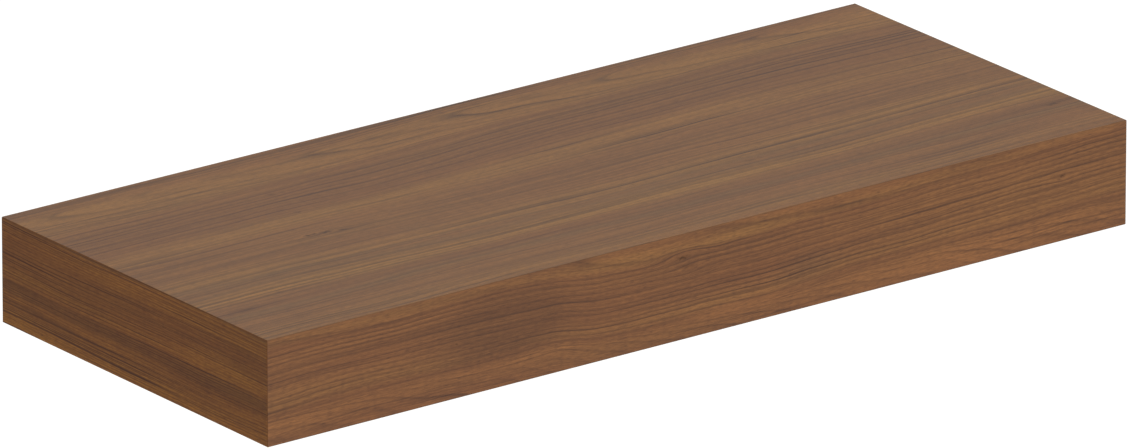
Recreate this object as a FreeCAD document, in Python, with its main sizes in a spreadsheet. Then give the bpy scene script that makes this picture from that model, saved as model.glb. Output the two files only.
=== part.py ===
# Floating wall shelf: a hollow box of mitred, veneered boards that slides onto three steel rods
# and hides them. The rods stand out of a wall plate in a recess at the back of the box, and a set
# screw under each rod clamps the box in place.
#
# Millimetres. X runs along the wall, Y into it and Z up. The wall is the plane y = 0, and the
# origin is the middle of the wall plate's back face, halfway up the box.

import FreeCAD, Part
import math
import os
import Sketcher

# alias: (size, what it is)
SIZES = {
    "width": (609.6, "box, along the wall"),
    "depth": (254.0, "box, out from the wall"),
    "height": (63.5, "box, top to underside"),
    "board": (12.7, "board thickness with its veneer"),
    "veneer": (0.6, "veneer thickness"),
    "arris": (0.5, "radius sanded on the outer edges"),
    "rail": (18.0, "thickness of the back and front rails"),
    "recess": (16.0, "back rail, in from the wall"),
    "block_width": (50.0, "rod block, along the wall"),
    "bore_radius": (8.3, "hole that a rod slides into"),
    "bore_end": (190.0, "blind end of that hole, out from the wall"),
    "bore_lead": (1.5, "bevel round the hole's mouth"),
    "rod_pitch": (139.7, "from rod to rod"),
    "rod_radius": (8.0, "rod"),
    "rod_reach": (186.0, "rod's tip, out from the wall"),
    "rod_bevel": (1.5, "bevel on the rod's tip"),
    "rod_seat": (1.5, "depth of the rod's seat in the plate"),
    "seat_play": (0.05, "gap round the rod's foot in its seat"),
    "plate_length": (558.8, "wall plate, along the wall"),
    "plate_height": (34.0, "wall plate, upwards"),
    "plate": (8.0, "wall plate thickness"),
    "plate_corner": (4.0, "radius of the plate's corners"),
    "plate_bevel": (0.6, "bevel on the plate's front edges"),
    "stud_spacing": (406.4, "between the slots for wall studs"),
    "slot_length": (24.0, "stud slot, end to end"),
    "slot_radius": (3.5, "half the stud slot's width"),
    "inner_spacing": (139.7, "between the inner wall holes"),
    "outer_spacing": (520.0, "between the outer wall holes"),
    "wall_hole_radius": (3.5, "round wall hole"),
    "bolt_radius": (4.0, "M8 screw that holds a rod"),
    "bolt_length": (22.0, "that screw, over its head"),
    "bolt_head": (7.9, "radius of its countersunk head"),
    "bolt_sink": (0.2, "head's top, below the plate's back"),
    "bolt_key": (5.0, "its hexagon socket, across flats"),
    "bolt_key_depth": (3.2, "depth of that socket"),
    "bolt_play": (0.1, "gap round the screw"),
    "tapped_depth": (22.0, "tapped hole in the rod's foot"),
    "clamp": (70.0, "set screws, out from the wall"),
    "set_radius": (3.0, "M6 set screw"),
    "set_length": (20.0, "its length"),
    "set_point": (1.75, "radius of its flat point"),
    "set_key": (3.0, "its hexagon socket, across flats"),
    "set_key_depth": (3.5, "depth of that socket"),
    "set_gap": (0.1, "between its point and the rod"),
    "insert_length": (18.0, "threaded insert"),
    "insert_bore": (3.05, "radius of its thread"),
    "insert_radius": (5.0, "its two knurled bands"),
    "insert_groove": (4.2, "radius in the groove between the bands"),
    "groove_start": (8.6, "that groove, up from the insert's foot"),
    "groove_end": (10.6, "its other side"),
    "insert_play": (0.05, "gap round the insert"),
    "flange_radius": (6.5, "insert's flange"),
    "flange": (1.2, "thickness of that flange"),
    "pass_radius": (3.5, "hole above the insert"),
}
SIDES = {"left": -1, "centre": 0, "right": 1}

# How a sketch names its origin, its axes and the points of a line or arc.
ORIGIN, ACROSS, UPRIGHT = -1, -1, -2
START, END, CENTRE = 1, 2, 3


def make_sizes(doc):
    """The sheet of driving sizes that every sketch and feature is tied to."""
    sheet = doc.addObject("Spreadsheet::Sheet", "Sizes")
    for row, (alias, (size, meaning)) in enumerate(SIZES.items(), start=1):
        sheet.set(f"A{row}", meaning)
        sheet.set(f"B{row}", str(size))
        sheet.setAlias(f"B{row}", alias)
    doc.recompute()


# Sketches. A place in a sketch is a pair of expressions. "0" is on an axis, and minus() gives the
# place on its other side.


def minus(expression):
    """The same distance on the other side of an axis."""
    return "0" if expression == "0" else f"-({expression})"


def sketch_on(body, name, role, lift="0"):
    """A sketch on one of the body's own origin planes, lifted along that plane's normal."""
    sketch = body.newObject("Sketcher::SketchObject", name)
    plane = next(part for part in body.Origin.OriginFeatures if part.Role == role)
    sketch.AttachmentSupport = [(plane, "")]
    sketch.MapMode = "FlatFace"
    if lift != "0":
        sketch.setExpression("AttachmentOffset.Base.z", lift)
    return sketch


def bind(sketch, constraint, name, expression):
    """Adds a dimension and ties it to an expression."""
    sketch.addConstraint(constraint)
    sketch.renameConstraint(sketch.ConstraintCount - 1, name)
    sketch.setExpression(f"Constraints.{name}", expression)


def hold(sketch, name, geometry, end, across, up, first=1.0):
    """Holds one point of a sketch at a place. first is the distance that it is drawn with."""
    for kind, axis, expression in (("DistanceX", UPRIGHT, across), ("DistanceY", ACROSS, up)):
        size_name = f"{name}_{kind[-1].lower()}"
        if expression == "0":
            sketch.addConstraint(Sketcher.Constraint("PointOnObject", geometry, end, axis))
        elif expression.startswith("-"):
            back = Sketcher.Constraint(kind, geometry, end, ORIGIN, START, first)
            bind(sketch, back, size_name, expression[1:])
        else:
            forth = Sketcher.Constraint(kind, ORIGIN, START, geometry, end, first)
            bind(sketch, forth, size_name, expression)


def outline(sketch, corners, name="corner"):
    """A closed outline of straight sides. The corners run anticlockwise."""
    count, first = len(corners), sketch.GeometryCount
    angles = [2 * math.pi * i / count for i in range(count + 1)]
    drawn = [FreeCAD.Vector(9 * math.cos(angle), 9 * math.sin(angle), 0) for angle in angles]
    for here, there in zip(drawn, drawn[1:]):
        sketch.addGeometry(Part.LineSegment(here, there), False)
    for i, corner in enumerate(corners):
        following = first + (i + 1) % count
        sketch.addConstraint(Sketcher.Constraint("Coincident", first + i, END, following, START))
        hold(sketch, f"{name}_{i}", first + i, START, *corner)


def rectangle(sketch, half_length, half_height):
    """A rectangle about the sketch's origin."""
    left, low = minus(half_length), minus(half_height)
    outline(sketch, [(left, low), (half_length, low), (half_length, half_height), (left, half_height)])


def hexagon(sketch, across_flats):
    """A hexagon about the sketch's origin, two of its flats upright."""
    flat = f"{across_flats} / 2"
    side = f"{across_flats} / 2 / sqrt(3)"
    tip = f"{across_flats} / sqrt(3)"
    left = [("0", tip), (minus(flat), side), (minus(flat), minus(side))]
    right = [("0", minus(tip)), (flat, minus(side)), (flat, side)]
    outline(sketch, left + right)


def circle(sketch, name, across, up, radius):
    """A circle about a place."""
    index = sketch.addGeometry(Part.Circle(FreeCAD.Vector(0, 0, 0), FreeCAD.Vector(0, 0, 1), 5), False)
    hold(sketch, name, index, CENTRE, across, up)
    bind(sketch, Sketcher.Constraint("Radius", index, 1.0), f"{name}_radius", radius)


def slot(sketch, name, drawn, middle, straight, radius):
    """A level slot with round ends, first drawn 16 long and 6 wide about drawn, on its own side of
    the sketch's origin. straight is half the distance between the centres of its ends."""
    normal, rise = FreeCAD.Vector(0, 0, 1), FreeCAD.Vector(0, 3, 0)
    ends = [FreeCAD.Vector(drawn - 5, 0, 0), FreeCAD.Vector(drawn + 5, 0, 0)]
    quarter = math.pi / 2
    first = sketch.GeometryCount
    left, right, top, bottom = first, first + 1, first + 2, first + 3
    sketch.addGeometry(Part.ArcOfCircle(Part.Circle(ends[0], normal, 3), quarter, 3 * quarter), False)
    sketch.addGeometry(Part.ArcOfCircle(Part.Circle(ends[1], normal, 3), -quarter, quarter), False)
    sketch.addGeometry(Part.LineSegment(ends[1] + rise, ends[0] + rise), False)
    sketch.addGeometry(Part.LineSegment(ends[0] - rise, ends[1] - rise), False)
    for one, other in ((right, top), (top, left), (left, bottom), (bottom, right)):
        sketch.addConstraint(Sketcher.Constraint("Tangent", one, END, other, START))
    sketch.addConstraint(Sketcher.Constraint("Equal", left, right))
    bind(sketch, Sketcher.Constraint("Radius", left, 3.0), f"{name}_radius", radius)
    near, far = f"{middle} - {straight}", f"{middle} + {straight}"
    if drawn < 0:
        hold(sketch, f"{name}_near", right, CENTRE, minus(near), "0", -drawn - 5)
        hold(sketch, f"{name}_far", left, CENTRE, minus(far), "0", -drawn + 5)
    else:
        hold(sketch, f"{name}_near", left, CENTRE, near, "0", drawn - 5)
        hold(sketch, f"{name}_far", right, CENTRE, far, "0", drawn + 5)


# Features


def new_body(doc, label):
    """An empty body."""
    body = doc.addObject("PartDesign::Body", label)
    body.Label = label
    return body


def pad(body, sketch, name, length, both_ways=False):
    """Thickens a sketch along its plane's normal, or to both sides of the plane."""
    feature = body.newObject("PartDesign::Pad", name)
    feature.Profile = sketch
    feature.SideType = "Symmetric" if both_ways else "One side"
    feature.setExpression("Length", length)
    return feature


def pocket(body, sketch, name, depth=None, onward=False):
    """Cuts a sketch against its plane's normal, or onward along it. With no depth, it cuts through
    everything on both sides of the plane."""
    feature = body.newObject("PartDesign::Pocket", name)
    feature.Profile = sketch
    feature.Reversed = onward
    if depth is None:
        feature.Type = "ThroughAll"
        feature.SideType = "Symmetric"
    else:
        feature.setExpression("Length", depth)
    return feature


def turned(body, sketch, name):
    """A full turn of a half profile about the sketch's upright axis."""
    feature = body.newObject("PartDesign::Revolution", name)
    feature.Profile = sketch
    feature.ReferenceAxis = (sketch, ["V_Axis"])
    feature.Angle = 360.0
    return feature


def place(thing, x="0", y="0", z="0", axis=(0, 0, 1), degrees=0.0):
    """Turns a sub-part about one of its axes and puts it at a place given by expressions."""
    rotation = FreeCAD.Rotation(FreeCAD.Vector(*axis), degrees)
    thing.Placement = FreeCAD.Placement(FreeCAD.Vector(0, 0, 0), rotation)
    for letter, expression in zip("xyz", (x, y, z)):
        if expression != "0":
            thing.setExpression(f"Placement.Base.{letter}", expression)


def along_wall(side):
    """Where the left, centre or right rod is along the wall."""
    return {-1: minus("Sizes.rod_pitch"), 0: "0", 1: "Sizes.rod_pitch"}[SIDES[side]]


# The box: boards and their veneers


def mitred_board(doc, label, half_length, front, rear, outer, inner):
    """A board or a veneer between two depths below the box's outer face, which looks up. half_length,
    front and rear say how far the outer face reaches. Its edges are mitred, so that the board gets
    smaller with depth, except that a rear of "0" leaves that edge square."""
    body = new_body(doc, label)

    # Ripped to length with a bevelled front edge.
    def line(depth):
        back = "0" if rear == "0" else f"{rear} - {depth}"
        return [(minus(f"{front} - {depth}"), minus(depth)), (back, minus(depth))]

    section = sketch_on(body, f"{label}_section", "YZ_Plane")
    outline(section, line(inner) + line(outer)[::-1])
    pad(body, section, f"{label}_strip", f"2 * ({half_length} - {outer})", both_ways=True)

    # A three-cornered piece cut off each end.
    ends = sketch_on(body, f"{label}_ends", "XZ_Plane")
    end, shoulder = f"{half_length} - {outer}", f"{half_length} - {inner}"
    right = [(end, minus(outer)), (shoulder, minus(inner)), (end, minus(inner))]
    left = [(minus(reach), depth) for reach, depth in right[::-1]]
    outline(ends, right, "right")
    outline(ends, left, "left")
    pocket(body, ends, f"{label}_mitres")
    return body


def insert_holes(body, name, depth, radius, length):
    """Three holes for the threaded inserts, down from a depth below the underside's outer face."""
    sketch = sketch_on(body, f"{body.Name}_{name}_places", "XY_Plane", minus(depth))
    for side in SIDES:
        circle(sketch, side, along_wall(side), "-Sizes.clamp", radius)
    pocket(body, sketch, f"{body.Name}_{name}", length)


def eased_box(doc):
    """The box's outside with its visible edges sanded round. The edges at the wall stay sharp."""
    block = doc.addObject("Part::Box", "box_outside")
    for side, size in (("Length", "width"), ("Width", "depth"), ("Height", "height")):
        block.setExpression(side, f"Sizes.{size}")
    place(block, "-Sizes.width / 2", "-Sizes.depth", "-Sizes.height / 2")
    doc.recompute()
    radius = doc.Sizes.get("arris")
    seen = [n for n, edge in enumerate(block.Shape.Edges, start=1) if edge.BoundBox.YMin < -radius]
    eased = doc.addObject("Part::Fillet", "box_outside_eased")
    eased.Base = block
    eased.Edges = [(n, radius, radius) for n in seen]
    return eased


def box_skin(doc):
    """The core board and the veneer of each of the five faces: {node: object}."""
    outside = eased_box(doc)
    length, width, height = "Sizes.width / 2", "Sizes.depth", "Sizes.height / 2"
    # face: (half length, front, rear, place, axis and angle that turn its outer face outwards)
    faces = {
        "top": (length, width, "0", ("0", "0", height), (0, 0, 1), 0.0),
        "bottom": (length, width, "0", ("0", "0", minus(height)), (0, 1, 0), 180.0),
        "front": (length, height, height, ("0", minus(width), "0"), (1, 0, 0), 90.0),
        "left_end": (height, width, "0", (minus(length), "0", "0"), (0, 1, 0), -90.0),
        "right_end": (height, width, "0", (length, "0", "0"), (0, 1, 0), 90.0),
    }
    skin = {}
    for face, (half_length, front, rear, spot, axis, degrees) in faces.items():
        core = mitred_board(doc, f"{face}_panel", half_length, front, rear, "Sizes.veneer", "Sizes.board")
        leaf = mitred_board(doc, f"{face}_leaf", half_length, front, rear, "0", "Sizes.veneer")
        if face == "bottom":
            flange_hole = "Sizes.flange_radius + Sizes.insert_play"
            insert_hole = "Sizes.insert_radius + Sizes.insert_play"
            insert_holes(leaf, "flange_holes", "0", flange_hole, "Sizes.veneer")
            insert_holes(core, "flange_seats", "Sizes.veneer", flange_hole, "Sizes.flange - Sizes.veneer")
            insert_holes(core, "insert_holes", "Sizes.veneer", insert_hole, "Sizes.board - Sizes.veneer")
        for thing in (core, leaf):
            place(thing, *spot, axis, degrees)
        veneer = doc.addObject("Part::Common", f"{face}_veneer")
        veneer.Base = leaf
        veneer.Tool = outside
        skin[f"{face}_panel"] = core
        skin[f"{face}_veneer"] = veneer
    return skin


# The box: rails and rod blocks inside. Their sketches look out from the wall.

INNER_HALF = "Sizes.width / 2 - Sizes.board"
INNER_RISE = "Sizes.height / 2 - Sizes.board"


def rail(doc, label, lift):
    """A rail between the ends, its back face at a distance from the wall."""
    body = new_body(doc, label)
    section = sketch_on(body, f"{label}_section", "XZ_Plane", lift)
    rectangle(section, INNER_HALF, INNER_RISE)
    pad(body, section, f"{label}_board", "Sizes.rail")
    return body


def back_rail(doc):
    """The rail behind the wall plate, with a bevelled hole for each rod."""
    body = rail(doc, "back_rail", "Sizes.recess")
    places = sketch_on(body, "back_rail_bore_places", "XZ_Plane", "Sizes.recess")
    for side in SIDES:
        circle(places, side, along_wall(side), "0", "Sizes.bore_radius")
    bores = pocket(body, places, "back_rail_bores", "Sizes.rail", onward=True)
    doc.recompute()
    mouth = -doc.Sizes.get("recess")
    mouths = [
        f"Edge{n}"
        for n, edge in enumerate(bores.Shape.Edges, start=1)
        if isinstance(edge.Curve, Part.Circle) and abs(edge.Curve.Center.y - mouth) < 0.01
    ]
    lead = body.newObject("PartDesign::Chamfer", "back_rail_lead_in")
    lead.Base = (bores, mouths)
    lead.setExpression("Size", "Sizes.bore_lead")
    return body


def rod_block(doc, side):
    """A block that runs from rail to rail, bored for its rod and, from below, for its set screw."""
    body = new_body(doc, f"rod_block_{side}")
    back = "(Sizes.recess + Sizes.rail)"
    section = sketch_on(body, f"{body.Name}_section", "XZ_Plane", back)
    rectangle(section, "Sizes.block_width / 2", INNER_RISE)
    pad(body, section, f"{body.Name}_blank", f"Sizes.depth - Sizes.board - Sizes.rail - {back}")
    bore = sketch_on(body, f"{body.Name}_bore_place", "XZ_Plane", back)
    circle(bore, "rod", "0", "0", "Sizes.bore_radius")
    pocket(body, bore, f"{body.Name}_bore", f"Sizes.bore_end - {back}", onward=True)
    # Both of these rise from the block's underside.
    insert_hole = ("Sizes.insert_radius + Sizes.insert_play", "Sizes.insert_length - Sizes.board")
    screw_hole = ("Sizes.pass_radius", INNER_RISE)
    for name, (radius, rise) in (("insert_hole", insert_hole), ("screw_hole", screw_hole)):
        sketch = sketch_on(body, f"{body.Name}_{name}_place", "XY_Plane", minus(INNER_RISE))
        circle(sketch, name, "0", "-Sizes.clamp", radius)
        pocket(body, sketch, f"{body.Name}_{name}", rise, onward=True)
    place(body, along_wall(side))
    return body


def threaded_insert(doc, side):
    """A grooved insert with a flange, flush with the underside. It stands on its flange's face."""
    body = new_body(doc, f"threaded_insert_{side}")
    profile = sketch_on(body, f"{body.Name}_profile", "XZ_Plane")
    corners = [
        ("Sizes.insert_bore", "0"),
        ("Sizes.flange_radius", "0"),
        ("Sizes.flange_radius", "Sizes.flange"),
        ("Sizes.insert_radius", "Sizes.flange"),
        ("Sizes.insert_radius", "Sizes.groove_start"),
        ("Sizes.insert_groove", "Sizes.groove_start"),
        ("Sizes.insert_groove", "Sizes.groove_end"),
        ("Sizes.insert_radius", "Sizes.groove_end"),
        ("Sizes.insert_radius", "Sizes.insert_length"),
        ("Sizes.insert_bore", "Sizes.insert_length"),
    ]
    outline(profile, corners)
    turned(body, profile, f"{body.Name}_turned")
    place(body, along_wall(side), "-Sizes.clamp", "-Sizes.height / 2")
    return body


def set_screw(doc, side):
    """A hexagon socket set screw with a flat point, its socket at the bottom."""
    body = new_body(doc, f"set_screw_{side}")
    profile = sketch_on(body, f"{body.Name}_profile", "XZ_Plane")
    corners = [
        ("0", "0"),
        ("Sizes.set_radius", "0"),
        ("Sizes.set_radius", "Sizes.set_length - (Sizes.set_radius - Sizes.set_point)"),
        ("Sizes.set_point", "Sizes.set_length"),
        ("0", "Sizes.set_length"),
    ]
    outline(profile, corners)
    turned(body, profile, f"{body.Name}_turned")
    socket = sketch_on(body, f"{body.Name}_socket_place", "XY_Plane")
    hexagon(socket, "Sizes.set_key")
    pocket(body, socket, f"{body.Name}_socket", "Sizes.set_key_depth", onward=True)
    foot = minus("Sizes.rod_radius + Sizes.set_gap + Sizes.set_length")
    place(body, along_wall(side), "-Sizes.clamp", foot)
    return body


# The wall bracket


def edges_where(shape, wanted):
    """The names of a shape's edges whose own box is wanted."""
    return [f"Edge{n}" for n, edge in enumerate(shape.Edges, start=1) if wanted(edge.BoundBox)]


def wall_plate(doc):
    """A flat steel bar with slots for wall studs, round holes for anchors, and the rods' seats."""
    body = new_body(doc, "wall_plate")
    section = sketch_on(body, "wall_plate_section", "XZ_Plane")
    rectangle(section, "Sizes.plate_length / 2", "Sizes.plate_height / 2")
    bar = pad(body, section, "wall_plate_bar", "Sizes.plate")
    doc.recompute()
    corners = body.newObject("PartDesign::Fillet", "wall_plate_corners")
    corners.Base = (bar, edges_where(bar.Shape, lambda box: box.YLength > 1))
    corners.setExpression("Radius", "Sizes.plate_corner")
    doc.recompute()
    front = -doc.Sizes.get("plate")
    rim = body.newObject("PartDesign::Chamfer", "wall_plate_rim")
    rim.Base = (corners, edges_where(corners.Shape, lambda box: box.YMax < front + 0.01))
    rim.setExpression("Size", "Sizes.plate_bevel")

    seats = sketch_on(body, "wall_plate_seat_places", "XZ_Plane", "Sizes.plate")
    for side in SIDES:
        circle(seats, side, along_wall(side), "0", "Sizes.rod_radius + Sizes.seat_play")
    pocket(body, seats, "wall_plate_seats", "Sizes.rod_seat")

    holes = sketch_on(body, "wall_plate_hole_places", "XZ_Plane")
    for name, spacing in (("inner", "Sizes.inner_spacing"), ("outer", "Sizes.outer_spacing")):
        for hand, spot in (("left", minus(f"{spacing} / 2")), ("right", f"{spacing} / 2")):
            circle(holes, f"{name}_{hand}", spot, "0", "Sizes.wall_hole_radius")
    straight = "(Sizes.slot_length / 2 - Sizes.slot_radius)"
    stud = doc.Sizes.get("stud_spacing") / 2
    for hand, drawn in (("left", -stud), ("right", stud)):
        slot(holes, f"stud_{hand}", drawn, "Sizes.stud_spacing / 2", straight, "Sizes.slot_radius")
    pocket(body, holes, "wall_plate_wall_holes")

    # The rods' screws come from the back, so their holes are countersunk there.
    places = sketch_on(body, "wall_plate_bolt_places", "XZ_Plane")
    for side in SIDES:
        circle(places, side, along_wall(side), "0", "Sizes.bolt_radius")
    doc.recompute()
    sunk = body.newObject("PartDesign::Hole", "wall_plate_bolt_holes")
    sunk.Profile = places
    doc.recompute()
    sunk.Reversed = True
    sunk.DepthType = "ThroughAll"
    sunk.setExpression("Diameter", "2 * (Sizes.bolt_radius + Sizes.bolt_play)")
    sunk.HoleCutType = "Countersink"
    sunk.HoleCutCustomValues = True
    sunk.HoleCutCountersinkAngle = 90.0
    sunk.setExpression("HoleCutDiameter", "2 * (Sizes.bolt_head + Sizes.bolt_sink + Sizes.bolt_play)")
    return body


def rod(doc, side):
    """A round bar, bevelled at its tip and drilled and tapped at its foot."""
    body = new_body(doc, f"rod_{side}")
    profile = sketch_on(body, f"{body.Name}_profile", "XY_Plane")
    foot = minus("Sizes.plate - Sizes.rod_seat")
    hole = "Sizes.bolt_radius + Sizes.bolt_play"
    hole_end = "Sizes.plate - Sizes.rod_seat + Sizes.tapped_depth"
    corners = [
        (hole, foot),
        (hole, minus(hole_end)),
        ("0", minus(hole_end)),
        ("0", "-Sizes.rod_reach"),
        ("Sizes.rod_radius - Sizes.rod_bevel", "-Sizes.rod_reach"),
        ("Sizes.rod_radius", minus("Sizes.rod_reach - Sizes.rod_bevel")),
        ("Sizes.rod_radius", foot),
    ]
    outline(profile, corners)
    turned(body, profile, f"{body.Name}_turned")
    place(body, along_wall(side))
    return body


def rod_screw(doc, side):
    """A countersunk socket screw that holds a rod to the plate, its head at the back."""
    body = new_body(doc, f"rod_screw_{side}")
    profile = sketch_on(body, f"{body.Name}_profile", "XY_Plane")
    corners = [
        ("0", "0"),
        ("0", "-Sizes.bolt_length"),
        ("Sizes.bolt_radius", "-Sizes.bolt_length"),
        ("Sizes.bolt_radius", minus("Sizes.bolt_head - Sizes.bolt_radius")),
        ("Sizes.bolt_head", "0"),
    ]
    outline(profile, corners)
    turned(body, profile, f"{body.Name}_turned")
    socket = sketch_on(body, f"{body.Name}_socket_place", "XZ_Plane")
    hexagon(socket, "Sizes.bolt_key")
    pocket(body, socket, f"{body.Name}_socket", "Sizes.bolt_key_depth", onward=True)
    place(body, along_wall(side), "-Sizes.bolt_sink")
    return body


def group(doc, label, members):
    """Identical fasteners as one node of separate solids."""
    together = doc.addObject("Part::Compound", label)
    together.Links = members
    return together


def check(doc, nodes):
    """Stops if a feature failed, a cut removed nothing or a sub-part isn't a sound solid."""
    failed = [thing.Name for thing in doc.Objects if {"Invalid", "Error"} & set(thing.State)]
    if failed:
        raise RuntimeError(f"features failed: {failed}")
    cuts = ("PartDesign::Pocket", "PartDesign::Hole", "PartDesign::Chamfer", "PartDesign::Fillet")
    for thing in doc.Objects:
        if thing.TypeId in cuts and thing.Shape.Volume > thing.BaseFeature.Shape.Volume - 0.01:
            raise RuntimeError(f"{thing.Name} cuts nothing")
    for name, thing in nodes.items():
        if thing.Shape.isNull() or not thing.Shape.isValid() or thing.Shape.Volume <= 0:
            raise RuntimeError(f"{name} isn't a sound solid")


def main():
    """Builds the shelf and writes one STEP file for each sub-part."""
    doc = FreeCAD.newDocument("floating_shelf")
    make_sizes(doc)
    nodes = box_skin(doc)
    nodes["back_rail"] = back_rail(doc)
    nodes["front_rail"] = rail(doc, "front_rail", "Sizes.depth - Sizes.board - Sizes.rail")
    nodes["wall_plate"] = wall_plate(doc)
    for side in SIDES:
        nodes[f"rod_block_{side}"] = rod_block(doc, side)
        nodes[f"set_screw_{side}"] = set_screw(doc, side)
        nodes[f"rod_{side}"] = rod(doc, side)
    inserts = [threaded_insert(doc, side) for side in SIDES]
    screws = [rod_screw(doc, side) for side in SIDES]
    nodes["threaded_inserts"] = group(doc, "threaded_inserts", inserts)
    nodes["rod_screws"] = group(doc, "rod_screws", screws)
    doc.recompute()
    check(doc, nodes)
    os.makedirs("parts", exist_ok=True)
    for name, thing in nodes.items():
        thing.Shape.exportStep(f"parts/{name}.step")
        box = thing.Shape.BoundBox
        spans = "  ".join(
            f"{low:8.2f} {high:8.2f}"
            for low, high in ((box.XMin, box.XMax), (box.YMin, box.YMax), (box.ZMin, box.ZMax))
        )
        print(f"{name:18}{len(thing.Shape.Solids)} solids {thing.Shape.Volume:12.1f} mm3  {spans}")


main()
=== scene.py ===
"""The looks of a floating wall shelf: a hollow box of mitred boards in walnut veneer, which slides
onto the steel rods of a concealed wall bracket and is clamped there by set screws from below.

X runs along the wall, Y into it and Z up, and the wall is the plane y = 0. Lengths are metres,
except in the grain of the walnut and the poplar, which is laid out in millimetres.
"""

from __future__ import annotations

import logging
import math
from dataclasses import dataclass, replace
from enum import Enum
from typing import Any, Iterable

import bmesh
import bpy
from mathutils import Matrix, Vector


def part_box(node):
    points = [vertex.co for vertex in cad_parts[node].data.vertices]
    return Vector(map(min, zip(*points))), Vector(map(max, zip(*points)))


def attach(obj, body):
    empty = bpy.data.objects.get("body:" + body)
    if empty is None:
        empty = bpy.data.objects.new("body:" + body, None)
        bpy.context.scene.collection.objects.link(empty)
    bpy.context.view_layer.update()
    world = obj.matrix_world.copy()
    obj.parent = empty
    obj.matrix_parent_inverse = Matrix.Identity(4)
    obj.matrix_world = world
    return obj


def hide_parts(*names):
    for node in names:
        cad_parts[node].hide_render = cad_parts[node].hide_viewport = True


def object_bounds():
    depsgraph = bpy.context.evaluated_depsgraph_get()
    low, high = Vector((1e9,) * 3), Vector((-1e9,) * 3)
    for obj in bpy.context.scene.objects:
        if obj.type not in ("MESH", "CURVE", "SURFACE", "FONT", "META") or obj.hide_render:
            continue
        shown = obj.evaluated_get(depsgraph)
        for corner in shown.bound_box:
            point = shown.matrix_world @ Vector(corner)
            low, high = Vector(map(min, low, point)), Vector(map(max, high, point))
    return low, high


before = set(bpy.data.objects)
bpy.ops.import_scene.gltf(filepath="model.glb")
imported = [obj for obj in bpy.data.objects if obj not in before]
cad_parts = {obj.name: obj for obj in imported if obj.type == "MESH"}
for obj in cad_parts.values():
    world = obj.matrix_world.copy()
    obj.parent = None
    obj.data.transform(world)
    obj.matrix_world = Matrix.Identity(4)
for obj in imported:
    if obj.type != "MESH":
        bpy.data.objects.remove(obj)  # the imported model: the pieces at their real size, and what they ride on
CAD_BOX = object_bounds()

MM = 0.001
SIDES = ("left", "centre", "right")
STEPS = (-1, 0, 1)  # where three pieces in a row are, in spacings from the middle one
log = logging.getLogger("floating_shelf")

Triple = tuple[float, float, float]
Tree = bpy.types.NodeTree
Socket = bpy.types.NodeSocket
Feeds = dict[int | str, Any]


def linear(colour: str) -> Triple:
    """Turns an sRGB hex colour into the linear values that a shader takes.

    Args:
        colour: such as "#754F32".

    Returns:
        Red, green and blue, each from 0 to 1.
    """
    shares = [int(colour[start : start + 2], 16) / 255 for start in (1, 3, 5)]
    return tuple(s / 12.92 if s <= 0.04045 else ((s + 0.055) / 1.055) ** 2.4 for s in shares)


def feed(node: bpy.types.Node, feeds: Feeds) -> None:
    """Links or sets a node's inputs.

    Args:
        node: the node.
        feeds: for each input, by number or name, the output that feeds it, or its value.
    """
    for name, value in feeds.items():
        if isinstance(value, Socket):
            node.id_data.links.new(value, node.inputs[name])
        else:
            node.inputs[name].default_value = value


def add(
    tree: Tree, kind: str, feeds: Feeds | None = None, output: int | str = 0, **settings: Any
) -> Socket:
    """Adds a shader node with its settings and links.

    Args:
        tree: the material's node tree.
        kind: the node's type without "ShaderNode", such as "TexNoise".
        feeds: what its inputs get, as feed takes it.
        output: the output to return, by number or name.
        **settings: properties of the node. stops gives a colour ramp's stops in order, as pairs
            of a place from 0 to 1 and a colour or a level.

    Returns:
        That output of the new node.
    """
    node = tree.nodes.new(f"ShaderNode{kind}")
    stops = settings.pop("stops", ())
    for name, value in settings.items():
        setattr(node, name, value)
    for place, _ in stops[1:-1]:
        node.color_ramp.elements.new(place)
    for number, (place, tone) in enumerate(stops):
        element = node.color_ramp.elements[number]
        element.position = place
        element.color = (*tone, 1.0) if isinstance(tone, tuple) else (tone, tone, tone, 1.0)
    feed(node, feeds or {})
    return node.outputs[output]


def distances(tree: Tree, ways: Iterable[Triple | Vector]) -> list[Socket]:
    """Measures how far along some directions a point of a piece lies.

    Args:
        tree: the material's node tree.
        ways: the directions.

    Returns:
        The distance along each of them, in millimetres.
    """
    point = add(tree, "TexCoord", output="Object")
    axes = [Vector(way) / MM for way in ways]
    return [
        add(tree, "VectorMath", {0: point, 1: axis}, "Value", operation="DOT_PRODUCT")
        for axis in axes
    ]


def lay(tree: Tree, under: Socket, level: Socket, strength: float, colour: Triple) -> Socket:
    """Lays a colour over another.

    Args:
        tree: the material's node tree.
        under: the colour below.
        level: where the new one goes, from 0 to 1.
        strength: how much of it goes there.
        colour: the new one's linear red, green and blue.

    Returns:
        The two together.
    """
    part = add(tree, "Math", {0: level, 1: strength}, operation="MULTIPLY")
    return add(tree, "Mix", {0: part, 6: under, 7: (*colour, 1.0)}, 2, data_type="RGBA")


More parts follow.
